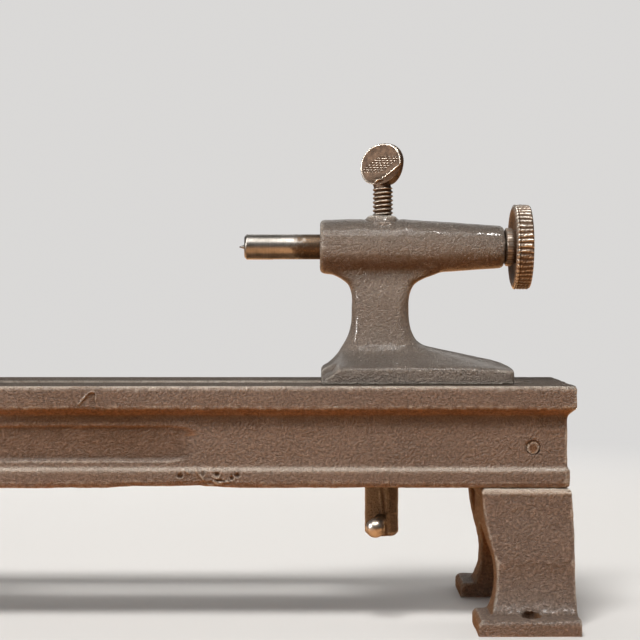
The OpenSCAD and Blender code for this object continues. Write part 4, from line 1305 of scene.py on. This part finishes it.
class LATHE_OT_handwheel(bpy.types.Operator):
    """Turn the handwheel and cut its ridges"""

    bl_idname = "bench_lathe.handwheel"
    bl_label = "Handwheel"

    def execute(self, context):
        rim, width = half_size("handwheel").z / MM, length_in_mm("handwheel")
        left = 2.9            # where the rim's ridges start, behind its beaded edge
        ridges, depth = context.scene.lathe_sizes.ridges, in_mm("knurl_depth")
        outline = fillet([
            (0.15, FEED_BORE), (0.0, FEED_BORE + 0.3), (0.0, 5.4, 0.2), (0.3, 5.85, 0.3),
            (1.9, 5.8, 0.9), (2.7, 5.1, 0.7), (left + 0.4, 4.9, 0.6), (left + 0.9, 6.6, 0.8),
            (left + 0.5, 9.4, 1.2), (left - 0.55, rim - 2.0, 0.5), (left - 0.80, rim - 1.35, 0.35),
            (left - 0.50, rim - 0.55, 0.3), (left - 0.25, rim - 0.05, 0.2), (left + 0.35, rim, 0.1),
            (width - 0.45, rim, 0.3), (width - 0.04, rim - 0.5, 0.2),
            (width - 0.02, rim - 1.3, 0.3), (width - 0.5, rim - 1.8, 0.3),
            (left + 3.0, rim - 2.6, 0.8), (left + 3.0, 6.6, 0.8),
            (width - 0.8, 5.3, 0.3), (width - 0.6, 4.7, 0.3), (width - 0.6, FEED_BORE + 0.3),
            (width - 0.75, FEED_BORE),
        ], 5)
        proud = []

        def patches(angles, place, first, shift, second, back):
            """Two waves round the wheel, whose product is a patchy pattern."""
            return np.sin(angles * first + place * shift) * np.sin(angles * second - place * back)

        def cut(along, radius, angles):
            out = rise(radius, rim - 0.9, rim - 0.4)
            beaded = float(rise(along, left + 0.35, left + 0.15))
            lower = rise(np.sin(angles), 0.1, -0.3)
            wave = 0.15 * math.sin(along * 2.4) + 0.5 * np.sin(angles * 7.0 + along)
            wave = wave + 0.3 * np.sin(angles * 23.0)
            ridge = np.abs(np.cos((angles * ridges + wave) / 2)) ** 1.5
            nick = 0.5 + 0.5 * patches(angles, along, 41.0, 2.9, 17.0, 1.7)
            pit = 0.5 + 0.5 * patches(angles, along, 83.0, 4.3, 29.0, 3.1)
            height = ridge * (1.0 - 0.45 * nick ** 2) * (1.0 - (0.15 + 0.45 * lower) * pit)
            height = height * (1.0 - beaded) + (0.35 + 0.65 * ridge) * beaded
            step = 0.30 * float(hump(along, left + 0.36, 0.12))
            face = 0.35 * patches(angles, radius, 31.0, 5.0, 13.0, 3.0)
            # Painted light: the ridges of the wheel's lower half are painted a little brighter.
            bright = 2.7 * height - 1.15 + 0.10 * lower * (1.0 - beaded) + 0.1 * beaded - 4.0 * step
            hub = 1.3 * float(rise(along, 2.9, 1.9)) * float(rise(radius, 3.5, 4.5))
            proud.append(out * bright + (1.0 - out) * (face - 0.95 + hub))
            return radius - depth * out * (1.0 - height) - step * out

        rows = finer(outline, 0.15, left - 0.9, width)
        piece = turned_piece("handwheel_turned", rows, left_end("handwheel"), ridges * 10, 60, cut)
        write_layer(piece.data, "edge", np.concatenate(proud))
        keep_piece(piece, "browned steel", "handwheel")
        return {"FINISHED"}


# Thumb screws, in mm
FLANK = math.radians(34.8)     # slope of the edge where a screw's face falls away to its neck
HEAD_W = 15.0                  # width of its flat head
HEAD_H = 12.6                  # the head's height
NECK_TO_TOP = 13.6             # from the thread's end to the head's top
ROW_TURN = math.radians(-3.5)      # slopes of the cross-hatched patch's two sets of grooves
BANK_TURN = math.radians(31.5)


class LATHE_OT_thumb_screws(bpy.types.Operator):
    """Thread the two thumb screws and shape their flat heads"""

    bl_idname = "bench_lathe.thumb_screws"
    bl_label = "Thumb screws"

    def execute(self, context):
        low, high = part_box("quill_lock_screw")
        place = Matrix.Translation((middle("quill_lock_screw").x, 0, low.z))
        turn = Matrix.Rotation(math.radians(-38), 4, "Z")
        self.screw("quill_lock_screw", place @ turn, (high.z - low.z) / MM)
        low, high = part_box("rest_lock_screw")
        place = Matrix.Translation((REST_X, high.y, middle("rest_lock_screw").z))
        turn = Matrix.Rotation(math.pi / 2, 4, "X") @ Matrix.Rotation(math.pi / 2, 4, "Z")
        self.screw("rest_lock_screw", place @ turn, (high.y - low.y) / MM)
        return {"FINISHED"}

    def screw(self, node, place, length):
        """One thumb screw, shaped in its own place, where z runs from its tip to its head."""
        piece = cast_skin(node, node + "_cut", in_mm("screw_grain"), 2, ((1.3, 0.05),))
        mesh = piece.data
        back = place.inverted()
        local = moved(read_points(mesh), back) / MM
        side = moved(read_points(mesh, "normal"), back.to_3x3().to_4x4())[:, 1]
        proud = np.zeros(len(local))
        self.thread(local, length - NECK_TO_TOP, proud)
        self.head(local, side, length, proud)
        write_points(mesh, moved(local * MM, place))
        write_layer(mesh, "edge", np.clip(proud + 0.7 * bend_of(mesh, 3, 96), -1.0, 1.0))
        keep_piece(piece, "screw steel", node)

    def thread(self, local, neck, proud):
        """Cuts the thread into the shank."""
        pitch, depth = in_mm("thread_pitch"), in_mm("thread_depth")
        x, y, z = local.T
        away = np.hypot(x, y)
        shank = (z > 0.3) & (z < neck + 0.35) & (away > 2.0)
        turn = (z / pitch - np.arctan2(y, x) / (2 * math.pi)) % 1.0
        crest = 0.5 + 0.5 * np.cos(2 * math.pi * turn)
        cut = depth * (1.0 - crest ** 0.8) * rise(z, 0.3, 1.2) * rise(z, neck + 0.35, neck - 0.1)
        scale = np.where(shank, (away - cut) / np.maximum(away, 1e-6), 1.0)
        local[:, 0] *= scale
        local[:, 1] *= scale
        proud[shank] = 1.05 * crest[shank] - 0.85

    def head(self, local, side, length, proud):
        """Dishes both faces of the head inside a raised rim, and cuts the cross-hatched patch.

        The side is each point's normal across the head, and proud takes how far each stands out,
        with a painted highlight along the flank's edge and painted shade on the flank.
        """
        height = local[:, 2] - (length - HEAD_H)
        u, v = local[:, 0], height - HEAD_H / 2
        reach = np.hypot(u / (HEAD_W / 2), v / (HEAD_H / 2))
        face = np.clip((np.abs(side) - 0.45) / 0.35, 0.0, 1.0) * rise(height, -0.4, 1.2)
        across = np.where(side < 0, u, -u)
        slant = (across + 2.5) * math.sin(FLANK) - (height + 0.95) * math.cos(FLANK)
        flank = rise(slant, -0.25, 0.35)
        rim = hump(reach, 0.96, 0.045) * (1.0 - flank)
        dish = 0.35 * rise(reach, 0.93, 0.62) * (1.0 - flank)
        cross = math.sin(BANK_TURN - ROW_TURN)
        bank = (v * math.cos(ROW_TURN) - u * math.sin(ROW_TURN)) / cross
        row = (u * math.sin(BANK_TURN) - v * math.cos(BANK_TURN)) / cross
        patch = rise(np.abs(row), 4.4, 4.0) * rise(np.abs(bank), 4.5, 4.1) * rise(reach, 0.92, 0.86)
        row_groove = np.abs(((bank / 1.24) % 1.0) - 0.5) * 2
        bank_groove = np.abs(((row / 1.40) % 1.0) - 0.5) * 2
        groove = np.maximum(rise(row_groove, 0.30, 0.85), 0.8 * rise(bank_groove, 0.55, 1.0))
        patch = patch * (1.0 - flank)
        lip = hump(slant, -0.15, 0.30)
        lift = 0.12 * rim - 0.16 * dish + patch * (0.08 - 0.18 * groove) + 0.16 * lip
        half = np.abs(local[:, 1])
        lift -= np.clip(slant * 0.55, 0.0, np.maximum(half - 0.12, 0.0)) * flank
        local[:, 1] += np.sign(side) * face * lift
        proud += face * (0.55 * rim + patch * (0.12 - 1.0 * groove) - 0.3 * dish)
        # Painted highlight along the edge where the face falls away to the flank, and painted shade
        # on the flank.
        proud += face * (0.7 * lip - 0.9 * flank * rise(slant, 0.2, 0.8))
        local[:, 0] += (0.0085 * height * height - 0.68) * rise(height, -1.5, 1.2)


class LATHE_OT_clamps(bpy.types.Operator):
    """Fit the clamp bolts, plates, lever nuts and ball levers"""

    bl_idname = "bench_lathe.clamps"
    bl_label = "Clamps"

    def execute(self, context):
        for nut, lever in (("tail_lever_nut", "tail_lever"), ("rest_lever_nut", "rest_lever")):
            piece = cast_skin(nut, nut + "_casting", 0.3, 2, ((6.0, 0.25), (1.3, 0.12)))
            reshape(piece.data, lambda points: self.crease(points, middle(nut)))
            finish_casting(piece)
            keep_piece(piece, "head paint", nut)
            self.lever(middle(nut), lever)
        keep_eased("plain steel", 0.25, (
            "tail_clamp_stud", "tail_clamp_plate",
            "rest_clamp_bolt", "rest_clamp_plate", "rest_washer",
        ))
        return {"FINISHED"}

    def crease(self, points, centre):
        """Runs a slanting hollow and a ridge beside it down the nut's front."""
        x, y, z = ((points - np.array(centre)) / MM).T
        front = rise(y, -1.5, -3.5)
        line = x + 0.10 * z + 0.2
        points[:, 1] += front * (0.45 * hump(line, -0.2, 0.55) - 0.35 * hump(line, 1.6, 0.9)) * MM

    def lever(self, nut, lever):
        """A tapering lever with a ball at its end, along the line from its nut's middle."""
        reach, ball = 22.0, 2.8        # from the nut's middle to the ball's, and the ball's radius
        start, steps = 3.3, 22
        turn = math.radians(7)
        rows = [(start, 0), (start, 1.7), (reach - 6.0, 1.62), (reach - ball - 0.2, 1.35, 0.8)]
        first = math.asin(1.4 / ball)
        for k in range(steps + 1):
            a = first + (math.pi - first) * k / steps
            rows.append((reach - ball * math.cos(a), ball * math.sin(a)))
        aim = Matrix.Rotation(-math.pi / 2 - turn, 4, "Z")
        place = Matrix.Translation((nut.x, nut.y, middle(lever).z)) @ aim
        piece = turned_piece(lever + "_turned", fillet(rows), place, 64, 45)
        keep_piece(piece, "bright steel", lever)


# Stage, in metres

FLOOR_SHADE = 0.74            # the floor near the lathe, beside the backdrop's colour
FLOOR_NEAR, FLOOR_FAR = 0.30, 0.62      # where the floor starts and ends to fade away
WORLD_COLOUR = (1.0, 0.97, 0.93)
WORLD_LIGHT = 0.09
LAMP_COLOUR = (1.0, 0.98, 0.95)
LAMP_AIM = Vector((0.1, 0.0, 0.09))
KEY_PLACE = (-0.05, -0.51, 1.12)
# Name, place, width, height and watts of each lamp, and the kind of rays that it shows in
LAMPS = (
    ("key", KEY_PLACE, 0.36, 0.28, 18.2, "diffuse"),
    ("softbox", KEY_PLACE, 0.80, 0.50, 15.0, "gloss"),
    ("left", (-0.44, -0.22, 0.30), 0.02, 0.30, 5.6, "gloss"),
    ("spark", (0.44, -0.30, 1.03), 0.05, 0.05, 6.5, "gloss"),
    ("back", (0.10, 0.80, 0.60), 1.00, 0.30, 1.5, "both"),
    ("back_fill", (0.05, 0.78, 0.26), 1.20, 0.22, 5.5, "diffuse"),
    ("right_fill", (0.85, 0.08, 0.30), 0.30, 0.30, 1.8, "diffuse"),
    ("left_fill", (-0.85, 0.08, 0.30), 0.30, 0.30, 1.8, "diffuse"),
)
CAMERA_PLACE = (0.1159, -0.480, BED_TOP + 0.0276)
CAMERA_DOWN = 1.056           # degrees that it looks down by
SENSOR = 36.0                 # its sensor's width in mm
FOCAL_PIXELS, IMAGE_PIXELS = 1574.0, 640.0


class LATHE_OT_stage(bpy.types.Operator):
    """Set up the floor, the lights and the camera"""

    bl_idname = "bench_lathe.stage"
    bl_label = "Stage"

    def execute(self, context):
        self.floor()
        self.lights(context)
        self.camera(context)
        context.scene.view_settings.view_transform = "Standard"
        return {"FINISHED"}

    def floor(self):
        """A pale floor, which takes the lathe's shadow and further off fades into the surround."""
        f = Finish("studio_floor")
        x, y = f.along("X"), f.along("Y")
        away = f.sum("SQRT", f.sum("ADD", f.times(x, x), f.times(y, y)), 0.0)
        seen = f.camera_ray()
        lit = f.blend(seen, rgb("bench"), shade(rgb("backdrop"), FLOOR_SHADE))
        f.done(lit, 0.9, 0.0, Specular_IOR_Level=0.1)
        even = f.node("ShaderNodeEmission", {"Color": rgb("backdrop"), "Strength": 1.0})[0]
        far = f.times(seen, f.ease(away, FLOOR_NEAR, FLOOR_FAR))
        both = f.node("ShaderNodeMixShader", {0: far, 1: f.shader.outputs[0], 2: even})[0]
        f.put(f.tree.nodes["Material Output"].inputs["Surface"], both)
        floor = new_piece("studio_floor", edit_mesh(
            bpy.data.meshes.new("studio_floor"),
            lambda shell: bmesh.ops.create_circle(shell, cap_ends=True, segments=96, radius=3.0),
        ))
        floor.data.materials.append(f.material)

    def lights(self, context):
        """Soft studio light: a lamp and softbox above, lower lamps round it, a pale surround."""
        world = bpy.data.worlds.new("studio")
        context.scene.world = world
        world.use_nodes = True
        n = Nodes(world.node_tree)
        light = n.tree.nodes["Background"]
        n.put(light.inputs["Color"], WORLD_COLOUR)
        n.put(light.inputs["Strength"], WORLD_LIGHT)
        shown = n.node("ShaderNodeBackground", {"Color": rgb("backdrop"), "Strength": 1.0})[0]
        both = n.node("ShaderNodeMixShader", {0: n.camera_ray(), 1: light.outputs[0], 2: shown})[0]
        n.put(n.tree.nodes["World Output"].inputs["Surface"], both)
        for name, place, wide, tall, power, shown_in in LAMPS:
            lamp = bpy.data.lights.new(name, "AREA")
            lamp.shape = "RECTANGLE"
            lamp.size, lamp.size_y = wide, tall
            lamp.energy = power
            lamp.color = LAMP_COLOUR
            stand = bpy.data.objects.new(name, lamp)
            stand.location = place
            stand.rotation_euler = (LAMP_AIM - Vector(place)).to_track_quat("-Z", "Y").to_euler()
            stand.visible_diffuse = shown_in != "gloss"
            stand.visible_glossy = shown_in != "diffuse"
            context.scene.collection.objects.link(stand)

    def camera(self, context):
        """The camera stands a little above the bed's top, square to the tailstock."""
        camera = bpy.data.cameras.new("camera")
        camera.sensor_width = SENSOR
        camera.lens = SENSOR * FOCAL_PIXELS / IMAGE_PIXELS
        camera.clip_start, camera.clip_end = 0.01, 20.0
        stand = bpy.data.objects.new("camera", camera)
        stand.location = CAMERA_PLACE
        stand.rotation_euler = (math.radians(90.0 - CAMERA_DOWN), 0.0, 0.0)
        context.scene.collection.objects.link(stand)
        context.scene.camera = stand


class LATHE_PT_panel(bpy.types.Panel):
    """Lists the lathe's steps"""

    bl_idname = "LATHE_PT_panel"
    bl_label = "Bench Lathe"
    bl_space_type = "VIEW_3D"
    bl_region_type = "UI"
    bl_category = "Lathe"

    def draw(self, context):
        for step in STEPS:
            self.layout.operator(step.bl_idname)
        for group in (context.scene.lathe_colours, context.scene.lathe_sizes):
            box = self.layout.box()
            for name in group.__annotations__:
                box.prop(group, name)


STEPS = (
    LATHE_OT_finishes,
    LATHE_OT_stage,
    LATHE_OT_bed,
    LATHE_OT_legs,
    LATHE_OT_castings,
    LATHE_OT_headstock,
    LATHE_OT_spindle,
    LATHE_OT_quill,
    LATHE_OT_handwheel,
    LATHE_OT_thumb_screws,
    LATHE_OT_clamps,
)
GROUPS = (LatheColours, LatheSizes)


def register():
    for cls in GROUPS + STEPS + (LATHE_PT_panel,):
        bpy.utils.register_class(cls)
    bpy.types.Scene.lathe_colours = bpy.props.PointerProperty(type=LatheColours)
    bpy.types.Scene.lathe_sizes = bpy.props.PointerProperty(type=LatheSizes)


def unregister():
    del bpy.types.Scene.lathe_sizes
    del bpy.types.Scene.lathe_colours
    for cls in reversed(GROUPS + STEPS + (LATHE_PT_panel,)):
        bpy.utils.unregister_class(cls)


def main():
    register()
    for step in STEPS:
        group, name = step.bl_idname.split(".")
        getattr(getattr(bpy.ops, group), name)()


if __name__ == "__main__":
    main()
